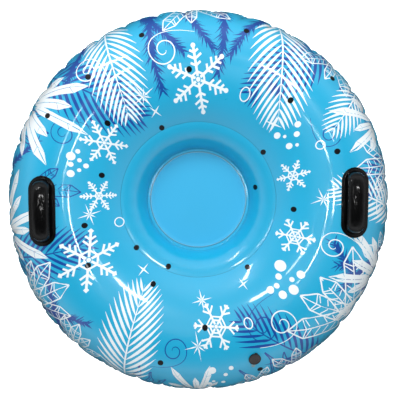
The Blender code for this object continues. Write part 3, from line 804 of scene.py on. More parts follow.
def closedSheet(shape, outlines, withHole):
    inkOf, spots, triangles, fromFaces, fronts = cutFront(shape, outlines, withHole)
    ends = {name: spots[ids] for name, ids in fronts.items()}
    backSpots, backTriangles, backFrom, backs = cutLining(shape, ends)
    reach, backReach = np.hypot(*spots.T), np.hypot(*backSpots.T)
    toRim = shape["rimFlat"] - backReach
    depth = shape["thickness"] + lining["extraDepth"] * (
        smoothStep(toRim, *lining["deepFrom"]) * (1 - smoothStep(toRim, *lining["deepTo"])))
    normals, backNormals = sheetNormals(shape, spots), sheetNormals(shape, backSpots)
    backPoints = sheetPoints(shape, backSpots) - backNormals * depth[:, None]
    points = np.concatenate((sheetPoints(shape, spots), backPoints))

    polygons, slots, onEdge = [], [], []

    def addFace(corners, slot, flip, edge=False):
        polygons.append(corners[::-1] if flip else corners)
        slots.append(slot)
        onEdge.append(edge)

    under = shape["side"] < 0
    inside = shape["startFlat"] + meshSteps["atEdge"]
    total = len(spots)
    for triangle, origins in zip(triangles, fromFaces):
        if -1 in [inkOf[number] for number in origins] or max(reach[number] for number in triangle) < inside:
            continue
        middle = sum(reach[number] for number in triangle) / 3
        addFace(triangle, inkOf[max(origins)] if origins else plainPlace(shape, middle), under)
    for triangle, origins in zip(backTriangles, backFrom):
        if not origins and max(backReach[number] for number in triangle) >= inside:
            addFace([number + total for number in triangle], 0, not under)
    for name, ids in fronts.items():
        lows = [number + total for number in backs[name]]
        slot = inks.index({"outer": "fin", "inner": "weld", "hole": "vinyl"}[name])
        flip = (name != "outer") != under
        for number in range(len(ids)):
            after = (number + 1) % len(ids)
            addFace([lows[number], lows[after], ids[after], ids[number]], slot, flip, edge=True)

    mesh = bpy.data.meshes.new(shape["name"])
    mesh.from_pydata(points.tolist(), [], polygons)
    mesh.polygons.foreach_set("use_smooth", [True] * len(polygons))
    mesh.polygons.foreach_set("material_index", slots)
    addFlatMap(mesh, np.concatenate((spots, backSpots)), total, onEdge)
    mesh.update()
    mesh.normals_split_custom_set_from_vertices(np.concatenate((normals, -backNormals)).tolist())
    print(shape["name"], "triangles:", sum(len(polygon) - 2 for polygon in polygons))
    return addObject(shape["name"], mesh)


def addFlatMap(mesh, spots, total, onEdge):     # the flat sheet, with its lining small in the middle
    spots = spots.copy()
    spots[total:] *= flatMap["liningSize"]
    corners = np.zeros(len(mesh.loops), int)
    mesh.loops.foreach_get("vertex_index", corners)
    places = spots[corners]
    sizes = np.array([polygon.loop_total for polygon in mesh.polygons])
    backOfEdge = np.repeat(np.array(onEdge), sizes) & (corners >= total)
    places[backOfEdge] = places[backOfEdge] / flatMap["liningSize"] * flatMap["edgeSize"]
    layer = mesh.uv_layers.new(name="OFBake")
    layer.uv.foreach_set("vector", (0.5 + places * (0.5 / flatMap["reach"])).ravel())


def makeSheets():
    gloss = dict(coatRoughness=0.06, mottle=0.10, mottleScale=7.0, spread=0.10)
    printed = [
        filmMaterial("cyanVinyl", (0.010, 0.405, 0.675), 0.30, coat=1.0, **gloss),
        filmMaterial("whiteInk", (0.860, 0.930, 0.960), 0.34, coat=1.0, **gloss),
        filmMaterial("royalInk", (0.0004, 0.062, 0.330), 0.30, coat=1.0, **gloss),
        filmMaterial("blackInk", (0.002, 0.002, 0.003), 0.34, coat=0.25, specular=0.2, **gloss),
        # darker grey-teal weld line at the seat: the weld's own tone, deepened by painted shade of the corner
        # it lies in
        filmMaterial("weldVinylAndShade", (0.040, 0.150, 0.210), 0.50, coat=0.3, **gloss),
        # darker line along the tie crease: partly the weld line's own tone, partly painted shade in the
        # crease
        filmMaterial("creaseVinylAndShade", (0.012, 0.300, 0.500), 0.40, coat=0.5, **gloss),
        # dark teal outer edge: the weld edge's own tone, darkened further by painted shade of the rim
        filmMaterial("finVinylAndShade", (0.015, 0.190, 0.270), 0.50, coat=0.3, **gloss),
    ]
    shape = shapeSheet(topSheet)
    thing = closedSheet(shape, layOutPrint(shape), withHole=True)
    dress(thing, *printed)
    finishPiece(thing, "root", "printed_vinyl", "top_skin")

    plain = dict(coat=0.6, coatRoughness=0.12, mottle=0.08, mottleScale=6.0, spread=0.10)
    heavy = filmMaterial("underVinyl", (0.580, 0.660, 0.720), 0.42, **plain)
    # darker at the seat weld, the tie crease and the outer edge: partly the welds' tone, partly painted shade
    weldAndShade = filmMaterial("underWeldAndShade", (0.400, 0.480, 0.540), 0.48, **plain)
    thing = closedSheet(shapeSheet(bottomSheet), [], withHole=False)
    dress(thing, *[weldAndShade if ink in ("weld", "crease", "fin") else heavy for ink in inks])
    finishPiece(thing, "root", "base_vinyl", "bottom_skin")
    return shape


topShape = makeSheets()
print("sheets made")


# The seat: one round sheet with a pressed bead inside its weld, the bead's top painted pale as a highlight

seat = {
    "radius": 0.1571, "sides": 192, "edgeRings": (0.0055, 0.0012, 0.0006, 0.0006, 0.0006, 0.0006, 0.0012),
    "rings": 14, "bead": 0.1483, "beadHeight": 0.0006, "beadWidth": 0.0012, "beadHighlightBand": 0.0008,
    "waviness": 0.0003, "waveScale": 14, "waveSeed": 0.5, "calmRing": 0.004, "calmReach": 0.03,
}


def makeSeat():
    deselectAll()
    bpy.ops.mesh.primitive_circle_add(vertices=seat["sides"], radius=seat["radius"], fill_type="NGON",
                                      location=(0, 0, ring["height"] / 2 - ring["seatSheet"] / 2))
    thing = bpy.context.object
    thing.name = "seatSheet"
    bpy.ops.object.transform_apply(location=True, rotation=False, scale=False)
    startEdit()
    left = seat["radius"] - sum(seat["edgeRings"])
    raiseOutline([*seat["edgeRings"], *[left / (seat["rings"] + 1)] * seat["rings"]], ring["seatSheet"])
    endEdit()
    for vert in thing.data.vertices:
        reach = math.hypot(vert.co.x, vert.co.y)
        calm = min(1.0, max(0.0, (seat["bead"] - seat["calmRing"] - reach) / seat["calmReach"]))
        place = Vector((vert.co.x * seat["waveScale"], vert.co.y * seat["waveScale"], seat["waveSeed"]))
        vert.co.z += seat["waviness"] * calm * noise.noise(place)
        if vert.co.z > ring["height"] / 2:
            vert.co.z += seat["beadHeight"] * max(0.0, 1 - abs(reach - seat["bead"]) / seat["beadWidth"])
    bpy.ops.object.shade_smooth_by_angle(angle=math.radians(40))
    # the second material is pale grey-blue: a painted highlight on the bead's top
    dress(thing,
          filmMaterial("seatVinyl", (0.040, 0.425, 0.720), 0.55, coat=0.15, coatRoughness=0.30, mottle=0.10,
                       mottleScale=5.0, spread=0.08, specular=0.3),
          filmMaterial("seatBeadHighlight", (0.250, 0.470, 0.560), 0.45, coat=0.5, coatRoughness=0.15, mottle=0.2,
                       mottleScale=40.0))
    # painted highlight: upward faces within the bead's band take the pale second material
    for face in thing.data.polygons:
        reach = math.hypot(face.center.x, face.center.y)
        face.material_index = int(face.normal.z > 0.1 and abs(reach - seat["bead"]) < seat["beadHighlightBand"])
    finishPiece(thing, "root", "seat_vinyl", "seat_floor")


makeSeat()
print("seat made")


# Handles: a welded patch and a stuffed sleeve on each side

handle = {
    "places": {"Left": (184.3, 181.0), "Right": (-1.2, -1.3)}, "radius": 0.470, "gap": 0.0003,
    "gripLength": 0.184, "gripWidth": 0.048, "gripThickness": 0.018, "clearance": 0.028, "squareness": 2.8,
    "legFoot": -0.016, "legTop": -0.008, "archSteps": 72, "sides": 44, "plumpness": 0.9,
    "weldEdge": 0.0032, "weldEdgeThickness": 0.0014, "weldEdgeForm": ((0.35, 1.05), (0.9, 1.0), (1.0, 0.3)),
    "sink": 0.0002, "footLip": 0.0045, "footSink": 0.9,
    "footLoops": ((0.4, 0.0016), (1.0, 0.0010), (1.05, 0.0)),
}
patch = {
    "length": 0.212, "width": 0.084, "sheet": 0.0015, "endSides": 72, "sideCuts": 14,
    "rings": (0.0008, 0.0016, 0.0022, 0.0012, 0.0012, 0.0010, 0.0010, 0.0012, 0.0016, *[0.0036] * 7),
    "roundEdge": 0.0016, "edgeShare": 0.45, "rib": 0.0088, "ribHeight": 0.0011, "ribWidth": 0.0030,
    "creaseFrom": 0.013, "creaseReach": 0.008, "creases": 0.0011, "creaseScale": (60, 26),
    "creaseSeeds": {"Left": 3.0, "Right": 9.0}, "ripples": 0.0004, "rippleScale": 130, "rippleFrom": 0.004,
    "rippleSeed": 5.0,
}
wrinkles = {            # of the sleeve; ridge, cross and lengthwise: how tight along it and across it, seed
    "height": 0.0011, "stuffing": 0.30, "bends": (0.20, 0.80), "bendReach": 0.09, "middleReach": 0.2,
    "ridge": (34, 5.0, 0), "cross": (150, 2.2, 5), "lengthwise": (22, 11, 9),
    "ridgeShare": 0.55, "lengthwiseShare": 0.45, "middleGain": 0.5,
    "pinch": 0.0006, "pinchWaves": 620, "pinchDrift": (2.2, 170), "pinchFrom": 0.9,
    "seeds": {"Left": 11.0, "Right": 47.0},
}


def handleFrame(placeAngle, facingAngle):
    flatSpot = spotOnSheet(topShape, handle["radius"], placeAngle)
    rise = np.interp(np.hypot(*flatSpot), topShape["flat"], topShape["rise"])
    turn = math.radians(placeAngle)
    spot = Vector((handle["radius"] * math.cos(turn), handle["radius"] * math.sin(turn),
                   ring["height"] / 2 + rise))
    return Matrix.Translation(spot) @ Matrix.Rotation(math.radians(facingAngle), 4, "Z")


def sheetUnder(x, y):                   # the printed sheet's points and outward ways under some places
    outside = topShape["flat"] > topShape["tieFlat"]
    reach = np.hypot(x, y)
    flat = np.interp(reach, topShape["radius"][outside], topShape["flat"][outside])
    spots = np.column_stack((flat * x / reach, flat * y / reach))
    return sheetPoints(topShape, spots), sheetNormals(topShape, spots)


def patchLift(x, y, top, side, straight):       # how high a point of the patch lies over the sheet
    if not top:
        return handle["gap"]
    inward = patch["width"] / 2 - math.hypot(x, max(0.0, abs(y) - straight))
    rounded = math.sqrt(min(1.0, max(0.0, inward / patch["roundEdge"])))
    lift = handle["gap"] + patch["sheet"] * (patch["edgeShare"] + (1 - patch["edgeShare"]) * rounded)
    lift += patch["ribHeight"] * max(0.0, 1 - ((inward - patch["rib"]) / patch["ribWidth"]) ** 2)
    inside = min(1.0, max(0.0, (inward - patch["creaseFrom"]) / patch["creaseReach"]))
    across, along = patch["creaseScale"]
    crease = noise.noise(Vector((x * across, y * along, patch["creaseSeeds"][side])))
    ripple = noise.noise(Vector((x * patch["rippleScale"], y * patch["rippleScale"], patch["rippleSeed"])))
    lift += inside * patch["creases"] * crease
    return lift + patch["ripples"] * ripple * min(1.0, inward / patch["rippleFrom"])


def makePatch(side, place, material):
    deselectAll()
    bpy.ops.mesh.primitive_circle_add(vertices=patch["endSides"], radius=patch["width"] / 2, fill_type="NGON")
    thing = bpy.context.object
    thing.name = f"handlePatch{side}"
    straight = patch["length"] / 2 - patch["width"] / 2
    for vert in thing.data.vertices:
        if abs(vert.co.y) > 0.0001:
            vert.co.y += math.copysign(straight, vert.co.y)
    startEdit("EDGE", "DESELECT")
    pickEdges(thing, lambda a, b: abs(a.y - b.y) > straight * 0.5)
    bpy.ops.mesh.subdivide(number_cuts=patch["sideCuts"])
    bpy.ops.mesh.select_mode(type="FACE")
    bpy.ops.mesh.select_all(action="SELECT")
    raiseOutline(patch["rings"], patch["sheet"])
    endEdit()
    lifts = [patchLift(vert.co.x, vert.co.y, vert.co.z > 0, side, straight) for vert in thing.data.vertices]
    thing.data.transform(place)
    places = np.array([tuple(vert.co) for vert in thing.data.vertices])
    points, normals = sheetUnder(places[:, 0], places[:, 1])
    for vert, spot in zip(thing.data.vertices, points + normals * np.asarray(lifts)[:, None]):
        vert.co = spot
    makeActive(thing)
    bpy.ops.object.shade_smooth_by_angle(angle=math.radians(50))
    dress(thing, material)
    finishPiece(thing, "root", "handle_vinyl", f"handle_base_{side.lower()}")


def archPath(steps):                    # along the handle and up, and how far along the sleeve each place is
    halfSpan = (handle["gripLength"] - handle["gripThickness"]) / 2
    crown = handle["clearance"] + handle["gripThickness"] / 2
    power = 2 / handle["squareness"]
    spots = [Vector((-halfSpan, handle["legFoot"])), Vector((-halfSpan, handle["legTop"]))]
    for step in range(steps + 1):
        angle = math.pi * step / steps
        along = -math.copysign(abs(math.cos(angle)) ** power, math.cos(angle)) * halfSpan
        spots.append(Vector((along, crown * abs(math.sin(angle)) ** power)))
    spots += [Vector((halfSpan, handle["legTop"])), Vector((halfSpan, handle["legFoot"]))]
    line = np.array(spots)
    length = np.concatenate(([0.0], np.cumsum(np.hypot(*np.diff(line, axis=0).T))))
    even = np.linspace(0.0, length[-1], steps + 5)
    return np.column_stack((np.interp(even, length, line[:, 0]), np.interp(even, length, line[:, 1]))), even


def sleeveSection(halfWidth):           # one round of the sleeve: stuffed middle, thin welded edge each side
    halfThick = handle["gripThickness"] / 2
    edge = handle["weldEdge"]
    thin = handle["weldEdgeThickness"] / 2
    angles = np.linspace(0.0, math.pi, handle["sides"] // 2 - 3)[1:-1]
    top = [(halfWidth * math.cos(angle), max(thin, halfThick * math.sin(angle) ** handle["plumpness"]))
           for angle in angles]
    right = [(halfWidth + edge * share, thin * high) for share, high in handle["weldEdgeForm"]]
    half = right[::-1] + top + [(-x, y) for x, y in right]
    return half + [(x, -y) for x, y in half[::-1]]


def sleevePoints(side):                 # the sleeve's rounds from foot to foot, puffed and wrinkled
    path, lengths = archPath(handle["archSteps"])
    way = np.gradient(path, axis=0)
    way /= np.linalg.norm(way, axis=1)[:, None]
    endRadius = handle["gripWidth"] / 2
    drift, driftWaves = wrinkles["pinchDrift"]

    def wrinkle(kind, place, across):
        tight, spread, seed = wrinkles[kind]
        return noise.noise(Vector((place * tight, across * spread, wrinkles["seeds"][side] + seed)))

    rounds = []
    for (along, up), (wayAlong, wayUp), length in zip(path, way, lengths):
        past = max(0.0, abs(along) - (handle["gripLength"] / 2 - endRadius))
        halfWidth = math.sqrt(endRadius ** 2 - past ** 2)
        share = length / lengths[-1]
        bend = sum(math.exp(-((share - place) / wrinkles["bendReach"]) ** 2) for place in wrinkles["bends"])
        middle = math.exp(-((share - 0.5) / wrinkles["middleReach"]) ** 2)
        lengthwiseShare = wrinkles["lengthwiseShare"] + wrinkles["middleGain"] * middle
        pinch = wrinkles["pinch"] * math.sin(
            length * wrinkles["pinchWaves"] + drift * math.sin(length * driftWaves))
        row = []
        for x, out in sleeveSection(halfWidth):
            across = x / halfWidth
            puff = wrinkles["height"] * (max(0.0, 1 - across * across) ** 0.5) * (
                wrinkles["ridgeShare"] * wrinkle("ridge", along, across)
                + bend * wrinkle("cross", length, across)
                + lengthwiseShare * wrinkle("lengthwise", length, across) + wrinkles["stuffing"])
            lift = out + math.copysign(puff, out) + pinch * (abs(across) > wrinkles["pinchFrom"])
            row.append((x, along - wayUp * lift, up + wayAlong * lift))
        rounds.append(row)
    return rounds


def closeFoot(mesh, place, ids):        # a small welded lip round a foot of the sleeve, then its underside
    spots = [place.inverted() @ mesh.vertices[number].co for number in ids]
    centre = sum(spots, Vector()) / len(spots)
    outwards = [Vector((*(spot - centre).xy, 0)).normalized() for spot in spots]
    work = bmesh.new()
    work.from_mesh(mesh)
    work.verts.ensure_lookup_table()
    loops = [[work.verts[number] for number in ids]]
    for grow, lift in handle["footLoops"]:
        wide = [place @ (spot + out * handle["footLip"] * grow) for spot, out in zip(spots, outwards)]
        under, normals = sheetUnder(np.array([spot.x for spot in wide]), np.array([spot.y for spot in wide]))
        lows = under[:, 2] + (handle["gap"] + patch["sheet"] * handle["footSink"]) / normals[:, 2]
        loops.append([work.verts.new((spot.x, spot.y, low + lift)) for spot, low in zip(wide, lows)])
    for low, high in zip(loops, loops[1:]):
        for number in range(len(ids)):
            after = (number + 1) % len(ids)
            work.faces.new((low[number], low[after], high[after], high[number]))
    work.faces.new(loops[-1])
    bmesh.ops.triangulate(work, faces=[face for face in work.faces if len(face.verts) > 4])
    bmesh.ops.recalc_face_normals(work, faces=work.faces)
    work.to_mesh(mesh)
    work.free()


def makeSleeve(side, place, material):
    rounds = sleevePoints(side)
    sides = len(rounds[0])
    faces = []
    for row in range(len(rounds) - 1):
        for number in range(sides):
            after = (number + 1) % sides
            faces.append((row * sides + number, row * sides + after,
                          (row + 1) * sides + after, (row + 1) * sides + number))
    mesh = bpy.data.meshes.new(f"handleSleeve{side}")
    mesh.from_pydata([point for row in rounds for point in row], [], faces)
    sleeve = addObject(f"handleSleeve{side}", mesh)
    mesh.transform(place)
    plan = np.array([tuple(vert.co) for vert in mesh.vertices])
    ground, normals = sheetUnder(plan[:, 0], plan[:, 1])
    floor = ground[:, 2] + (handle["gap"] + patch["sheet"]) / normals[:, 2] - handle["sink"]
    for vert, low in zip(mesh.vertices, floor):
        vert.co.z = max(vert.co.z, low)
    for end in (0, len(rounds) - 1):
        closeFoot(mesh, place, [end * sides + number for number in range(sides)])
    makeActive(sleeve)
    applyModifier(sleeve, "SUBSURF", levels=1, render_levels=1)
    bpy.ops.object.shade_smooth()
    dress(sleeve, material)
    finishPiece(sleeve, "root", "handle_vinyl", f"handle_grip_{side.lower()}")


blackVinyl = dict(mottle=0.3, spread=0.10, grainDepth=0.00003, specular=0.12)
patchVinyl = filmMaterial("patchVinyl", (0.0014, 0.0014, 0.0016), 0.34, coat=0.25, coatRoughness=0.16,
                          grainScale=700.0, **blackVinyl)
sleeveVinyl = filmMaterial("sleeveVinyl", (0.0012, 0.0012, 0.0014), 0.28, coat=0.45, coatRoughness=0.07,
                           grainScale=600.0, **blackVinyl)
for side, angles in handle["places"].items():
    place = handleFrame(*angles)
    makePatch(side, place, patchVinyl)
    makeSleeve(side, place, sleeveVinyl)
print("handles made")


# Air valve: cap with a dished face, edge ribs and a pull tab, and the strap that keeps it on

valve = {
    "axis": Vector((0.154195, -0.435434, 0.886916)), "turn": -28.0, "sides": 96,
    "capOutline": [(0.0073, 0.0040), (0.0073, 0.0008), (0.0076, 0.0005), (0.0082, 0.0005), (0.0085, 0.0009),
                   (0.0085, 0.0040), (0.0178, 0.0040), (0.0188, 0.0044), (0.0190, 0.0050), (0.0189, 0.0057),
                   (0.0184, 0.0061), (0.0176, 0.0062), (0.0168, 0.0061), (0.0163, 0.0057), (0.0158, 0.0055),
                   (0.0118, 0.0054), (0.0114, 0.0056), (0.0106, 0.0056), (0.0102, 0.0054), (0.0052, 0.0053),
                   (0.0048, 0.0055), (0.0044, 0.0055), (0.0040, 0.0053)],
    "faceRadius": 0.0164, "faceHeight": 0.005, "tabFrom": 0.0192,
}
ribs = {"count": 32, "depth": 0.00035, "from": 0.0182, "low": 0.0042, "high": 0.0060}
tab = {"start": 0.0170, "end": 0.0280, "width": 0.0116, "middle": 0.0051, "thickness": 0.0014,
       "corner": 0.0042, "cornerSteps": 6, "softEdge": 0.0003, "ridges": 4, "ridgeRadius": 0.0004,
       "ridgeFrom": 0.0020, "ridgeStep": 0.0014, "ridgeShare": 0.66}
strap = {"width": 0.0080, "sheet": 0.0009, "hinge": (-0.0205, 0.0037), "bend": 0.0011, "bendStep": 20,
         "foot": -0.0184, "shoulder": -0.0196, "capEnd": -0.0187, "softEdge": 0.00025, "turnsWithin": 0.0008}


def valveFrame():
    axis = valve["axis"].normalized()
    outward = Vector((valveSpot.x, valveSpot.y, 0)).normalized()
    downhill = (outward - axis * outward.dot(axis)).normalized()
    square = Matrix((downhill, axis.cross(downhill), axis)).transposed().to_4x4()
    return Matrix.Translation(valveSpot) @ square @ Matrix.Rotation(math.radians(valve["turn"]), 4, "Z")


def turnUp(name, outline, sides):       # a turned piece: each step grows or shrinks the last ring
    deselectAll()
    radius, height = outline[0]
    bpy.ops.mesh.primitive_circle_add(vertices=sides, radius=radius, fill_type="NGON", location=(0, 0, 0))
    thing = bpy.context.object
    thing.name = name
    startEdit()
    bpy.ops.transform.translate(value=(0, 0, height))
    for nextRadius, nextHeight in outline[1:]:
        bpy.ops.mesh.extrude_region_move(TRANSFORM_OT_translate={"value": (0, 0, nextHeight - height)})
        bpy.ops.transform.resize(value=(nextRadius / radius, nextRadius / radius, 1))
        radius, height = nextRadius, nextHeight
    endEdit()
    return thing


def makeTab():                          # the tongue with rounded outer corners, and ridges for the fingers
    deselectAll()
    bpy.ops.mesh.primitive_cube_add(size=1, location=((tab["start"] + tab["end"]) / 2, 0, tab["middle"]))
    tongue = bpy.context.object
    tongue.name = "pullTab"
    tongue.scale = (tab["end"] - tab["start"], tab["width"], tab["thickness"])
    bpy.ops.object.transform_apply(location=True, rotation=False, scale=True)
    startEdit("EDGE", "DESELECT")
    pickEdges(tongue, lambda a, b: abs(a.z - b.z) > tab["thickness"] / 2 and a.x > tab["end"] - 0.001)
    bpy.ops.mesh.bevel(offset=tab["corner"], segments=tab["cornerSteps"], affect="EDGES")
    bpy.ops.object.mode_set(mode="OBJECT")
    applyModifier(tongue, "BEVEL", width=tab["softEdge"], segments=2)
    pieces = [tongue]
    for number in range(tab["ridges"]):
        deselectAll()
        x = tab["end"] - tab["ridgeFrom"] - tab["ridgeStep"] * number
        bpy.ops.mesh.primitive_cylinder_add(
            vertices=12, radius=tab["ridgeRadius"], depth=tab["width"] * tab["ridgeShare"],
            rotation=(math.pi / 2, 0, 0), location=(x, 0, tab["middle"] + tab["thickness"] / 2))
        bpy.ops.object.transform_apply(location=True, rotation=True, scale=True)
        pieces.append(bpy.context.object)
    return pieces


def makeCap(place, *materials):
    cap = turnUp("valveCap", valve["capOutline"], valve["sides"])
    for vert in cap.data.vertices:
        reach = math.hypot(vert.co.x, vert.co.y)
        if reach > ribs["from"] and ribs["low"] < vert.co.z < ribs["high"]:
            number = round(math.atan2(vert.co.y, vert.co.x) / fullTurn * valve["sides"])
            if number % (valve["sides"] // ribs["count"]) == 0:
                vert.co.xy *= 1 - ribs["depth"] / reach
    pieces = [*makeTab(), cap]
    deselectAll()
    for piece in pieces:
        piece.select_set(True)
    bpy.context.view_layer.objects.active = cap
    bpy.ops.object.join()
    cap.data.materials.clear()
    dress(cap, *materials)
    for face in cap.data.polygons:
        reach = math.hypot(face.center.x, face.center.y)
        onFace = face.normal.z > 0.3 and reach < valve["faceRadius"] and face.center.z > valve["faceHeight"]
        face.material_index = 2 if face.center.x > valve["tabFrom"] else int(onFace)
    cap.data.transform(place)
    makeActive(cap)
    bpy.ops.object.shade_smooth_by_angle(angle=math.radians(38))
    finishPiece(cap, "valve_cap", "valve_plastic", "valve_cap")


def makeStrap(place, material):         # from the core's edge, round its hinge and back to the cap's edge
    hingeX, hingeZ = strap["hinge"]
    low, high = hingeZ - strap["bend"], hingeZ + strap["bend"]
    path = [(strap["foot"], low), (strap["shoulder"], low)]
    for angle in range(0, 181, strap["bendStep"]):
        turn = math.radians(angle)
        path.append((hingeX - strap["bend"] * math.sin(turn), hingeZ - strap["bend"] * math.cos(turn)))
    path += [(strap["shoulder"], high), (strap["capEnd"], high)]
    deselectAll()
    bpy.ops.mesh.primitive_plane_add(size=1, location=(0, 0, 0))
    thing = bpy.context.object
    thing.name = "capStrap"
    for vert in thing.data.vertices:
        x, z = path[0] if vert.co.x < 0 else path[1]
        vert.co = (x, math.copysign(strap["width"] / 2, vert.co.y), z)
    startEdit("EDGE", "DESELECT")
    pickEdges(thing, lambda a, b: max(a.x, b.x) < (strap["foot"] + strap["shoulder"]) / 2)
    for before, after in zip(path[1:], path[2:]):
        move = (after[0] - before[0], 0, after[1] - before[1])
        bpy.ops.mesh.extrude_region_move(TRANSFORM_OT_translate={"value": move})
    endEdit()
    applyModifier(thing, "SOLIDIFY", thickness=strap["sheet"], offset=0)
    applyModifier(thing, "BEVEL", width=strap["softEdge"], segments=2)
    thing.data.transform(place)
    bpy.ops.object.shade_smooth_by_angle(angle=math.radians(40))
    dress(thing, material)
    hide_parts("cap_tether")
    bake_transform(thing)


def dressNodes(material, *names):
    for name in names:
        node = frame["nodes"][name]
        if not node.material_slots:
            dress(node, material)
        for place in node.material_slots:
            place.material = material


moulded = dict(mottle=0.3, spread=0.12, grainScale=1800.0)
blackPlastic = filmMaterial("valvePlastic", (0.0060, 0.0060, 0.0066), 0.36, coat=0.2, coatRoughness=0.2,
                            mottleScale=60.0, **moulded)
capFace = filmMaterial("capFace", (0.030, 0.024, 0.023), 0.42, coat=0.3, coatRoughness=0.15,
                       mottleScale=90.0, **moulded)
tabVinyl = filmMaterial("tabVinyl", (0.190, 0.330, 0.370), 0.30, coat=0.6, coatRoughness=0.10, mottle=0.2,
                        mottleScale=60.0, grainScale=1500.0)
greyRubber = filmMaterial("valveRubber", (0.120, 0.120, 0.125), 0.62, mottle=0.15, mottleScale=50.0,
                          spread=0.1, grainScale=1500.0)
baffleVinyl = filmMaterial("baffleVinyl", (0.62, 0.68, 0.71), 0.45, coat=0.3, coatRoughness=0.2, mottle=0.10,
                           mottleScale=6.0)
gripFoam = filmMaterial("gripFoam", (0.10, 0.10, 0.105), 0.92, mottle=0.35, mottleScale=240.0, spread=0.05,
                        grainScale=900.0, grainDepth=0.0004)
makeCap(valveFrame(), blackPlastic, capFace, tabVinyl)
makeStrap(valveFrame(), blackPlastic)
dressNodes(blackPlastic, "valve_base", "valve_core")
dressNodes(greyRubber, "valve_gasket", "valve_flap")
dressNodes(baffleVinyl, "tie_baffle")
dressNodes(gripFoam, "handle_core_left", "handle_core_right")
print("valve made")


# The place that the photo shows: white ground, soft light from the far side, narrow strips overhead

floorLooks = {"size": 8.0, "drop": 0.001, "tint": 0.80, "roughness": 0.9,
              "glossFrom": 0.70, "glossTo": 1.90, "glossNear": 0.03, "glossFar": 0.36}
view = {"height": 3.0, "width": 1.259, "centreX": 0.00535, "centreY": -0.00205, "sensor": 36.0}
room = {"colour": (0.95, 0.975, 1.0, 1.0), "seen": 0.92, "light": 0.23,
        "nearBand": 2.6, "nearSide": (0.5, -0.7), "bandTop": 0.26,
        "gloss": 0.05, "glossBand": 0.95, "glossBandTop": 0.98, "glossBandFull": 0.14,
        "horizonDip": -0.62, "dipFrom": 0.36, "farGloss": 0.08, "farSide": (0.1, 0.9)}
softLamps = [      # name, place, width, depth, power: they light the piece but don't mirror in it
    ("farSoftbox", (0.0, 3.2, 3.0), 3.4, 1.8, 100.0),
    ("overhead", (0.0, 0.5, 4.8), 3.4, 3.0, 92.0),
]
glintLamps = [     # name, place, width, depth, power, turn about Z: they show as streaks in the gloss
    ("leftLongStrip", (0.33, 0.11, 6.0), 0.12, 0.18, 3.0, 18.0),
    ("rightLongStrip", (-0.33, 0.14, 6.0), 0.12, 0.15, 2.4, -22.0),
    ("leftPanel", (1.35, 1.92, 6.0), 0.80, 0.46, 34.0, -35.0),
    ("rightPanel", (-1.30, 1.93, 6.0), 0.44, 0.40, 17.0, 34.0),
    ("leftSideStrip", (-1.66, 0.90, 6.0), 0.14, 1.00, 7.0, 11.0),
    ("rightSideStrip", (1.78, 0.95, 6.0), 0.12, 0.36, 2.4, 28.0),
    ("farStrip", (-2.20, 3.22, 3.0), 1.80, 0.24, 40.0, -31.5),
]


def makeFloor():
    deselectAll()
    bpy.ops.mesh.primitive_plane_add(size=floorLooks["size"], location=(0, 0, -floorLooks["drop"]))
    floor = bpy.context.object
    floor.name = "floor"
    material = bpy.data.materials.new("paleFloor")
    material.use_nodes = True
    tree = material.node_tree
    ray = addNode(tree, "ShaderNodeLightPath")
    place = addNode(tree, "ShaderNodeTexCoord")["Object"]
    reach = addNode(tree, "ShaderNodeVectorMath", {0: place}, operation="LENGTH")["Value"]
    # painted shade: to mirrored rays the floor glows dim near the tube and bright far off, a painted shadow
    # round the tube in its reflections
    mirrored = addNode(tree, "ShaderNodeMapRange", {        # it mirrors dark near the tube, pale far off
        "Value": reach, "From Min": floorLooks["glossFrom"], "From Max": floorLooks["glossTo"],
        "To Min": floorLooks["glossNear"], "To Max": floorLooks["glossFar"]})["Result"]
    tint = addNode(tree, "ShaderNodeMapRange", {
        "Value": ray["Is Glossy Ray"], "To Min": floorLooks["tint"], "To Max": 0.0})["Result"]
    setSockets(tree, tree.nodes["Principled BSDF"], {
        "Base Color": tint, "Roughness": floorLooks["roughness"], "Specular IOR Level": 0.0,
        "Emission Color": (1.0, 1.0, 1.0, 1.0),
        "Emission Strength": multiplyAdd(tree, ray["Is Glossy Ray"], mirrored, ray["Is Camera Ray"])})
    dress(floor, material)


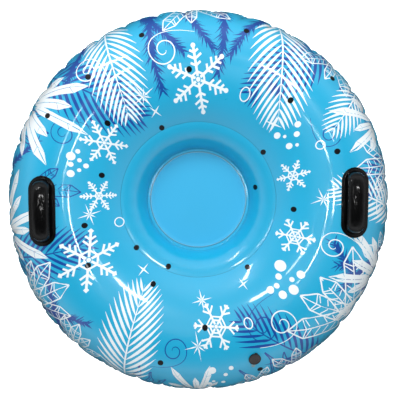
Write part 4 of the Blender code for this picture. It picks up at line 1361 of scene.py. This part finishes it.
def addLamp(name, spot, width, depth, power, turn=None):
    light = bpy.data.lights.new(name, "AREA")
    light.shape = "RECTANGLE"
    light.size, light.size_y = width, depth
    light.energy = power
    lamp = addObject(name, light)
    lamp.location = spot
    if turn is None:
        lamp.rotation_euler = (Vector((0, 0, 0.2)) - Vector(spot)).to_track_quat("-Z", "Y").to_euler()
        lamp.visible_glossy = False
    else:
        lamp.rotation_euler = (0, 0, math.radians(turn))


def makeRoom():                         # what lights the tube all round, and what mirrors in its gloss
    world = bpy.data.worlds.new("softRoom")
    world.use_nodes = True
    tree = world.node_tree
    ray = addNode(tree, "ShaderNodeLightPath")
    way = addNode(tree, "ShaderNodeTexCoord")["Generated"]
    parts = addNode(tree, "ShaderNodeSeparateXYZ", {0: way})

    def shareOf(axis, low, high):
        return addNode(tree, "ShaderNodeMapRange", {"Value": parts[axis], "From Min": low, "From Max": high},
                       interpolation_type="SMOOTHSTEP")["Result"]

    def choose(share, off, on):
        return addNode(tree, "ShaderNodeMix", {"Factor": share, "A": off, "B": on})["Result"]

    nearSide = multiplyAdd(tree, shareOf("Y", *room["nearSide"]), shareOf("Z", room["bandTop"], 0.0), 0.0)
    light = multiplyAdd(tree, nearSide, room["nearBand"], room["light"])
    gloss = room["gloss"]
    for share, gain in ((shareOf("Z", room["glossBandTop"], room["glossBandFull"]), room["glossBand"]),
                        (shareOf("Z", room["dipFrom"], 0.0), room["horizonDip"]),
                        (shareOf("Y", *room["farSide"]), room["farGloss"])):
        gloss = multiplyAdd(tree, share, gain, gloss)
    strength = choose(ray["Is Camera Ray"], choose(ray["Is Glossy Ray"], light, gloss), room["seen"])
    setSockets(tree, tree.nodes["Background"], {"Color": room["colour"], "Strength": strength})
    bpy.context.scene.world = world
    for lamp in softLamps + glintLamps:
        addLamp(*lamp)


def makeCamera():
    data = bpy.data.cameras.new("camera")
    data.sensor_width = view["sensor"]
    data.lens = view["sensor"] * view["height"] / view["width"]
    camera = addObject("camera", data)
    camera.location = (view["centreX"], view["centreY"], view["height"] + ring["height"] / 2)
    camera.rotation_euler = (0, 0, 0)
    bpy.context.scene.camera = camera
    bpy.context.scene.view_settings.view_transform = "Standard"


makeFloor()
makeRoom()
makeCamera()
print("stage made")
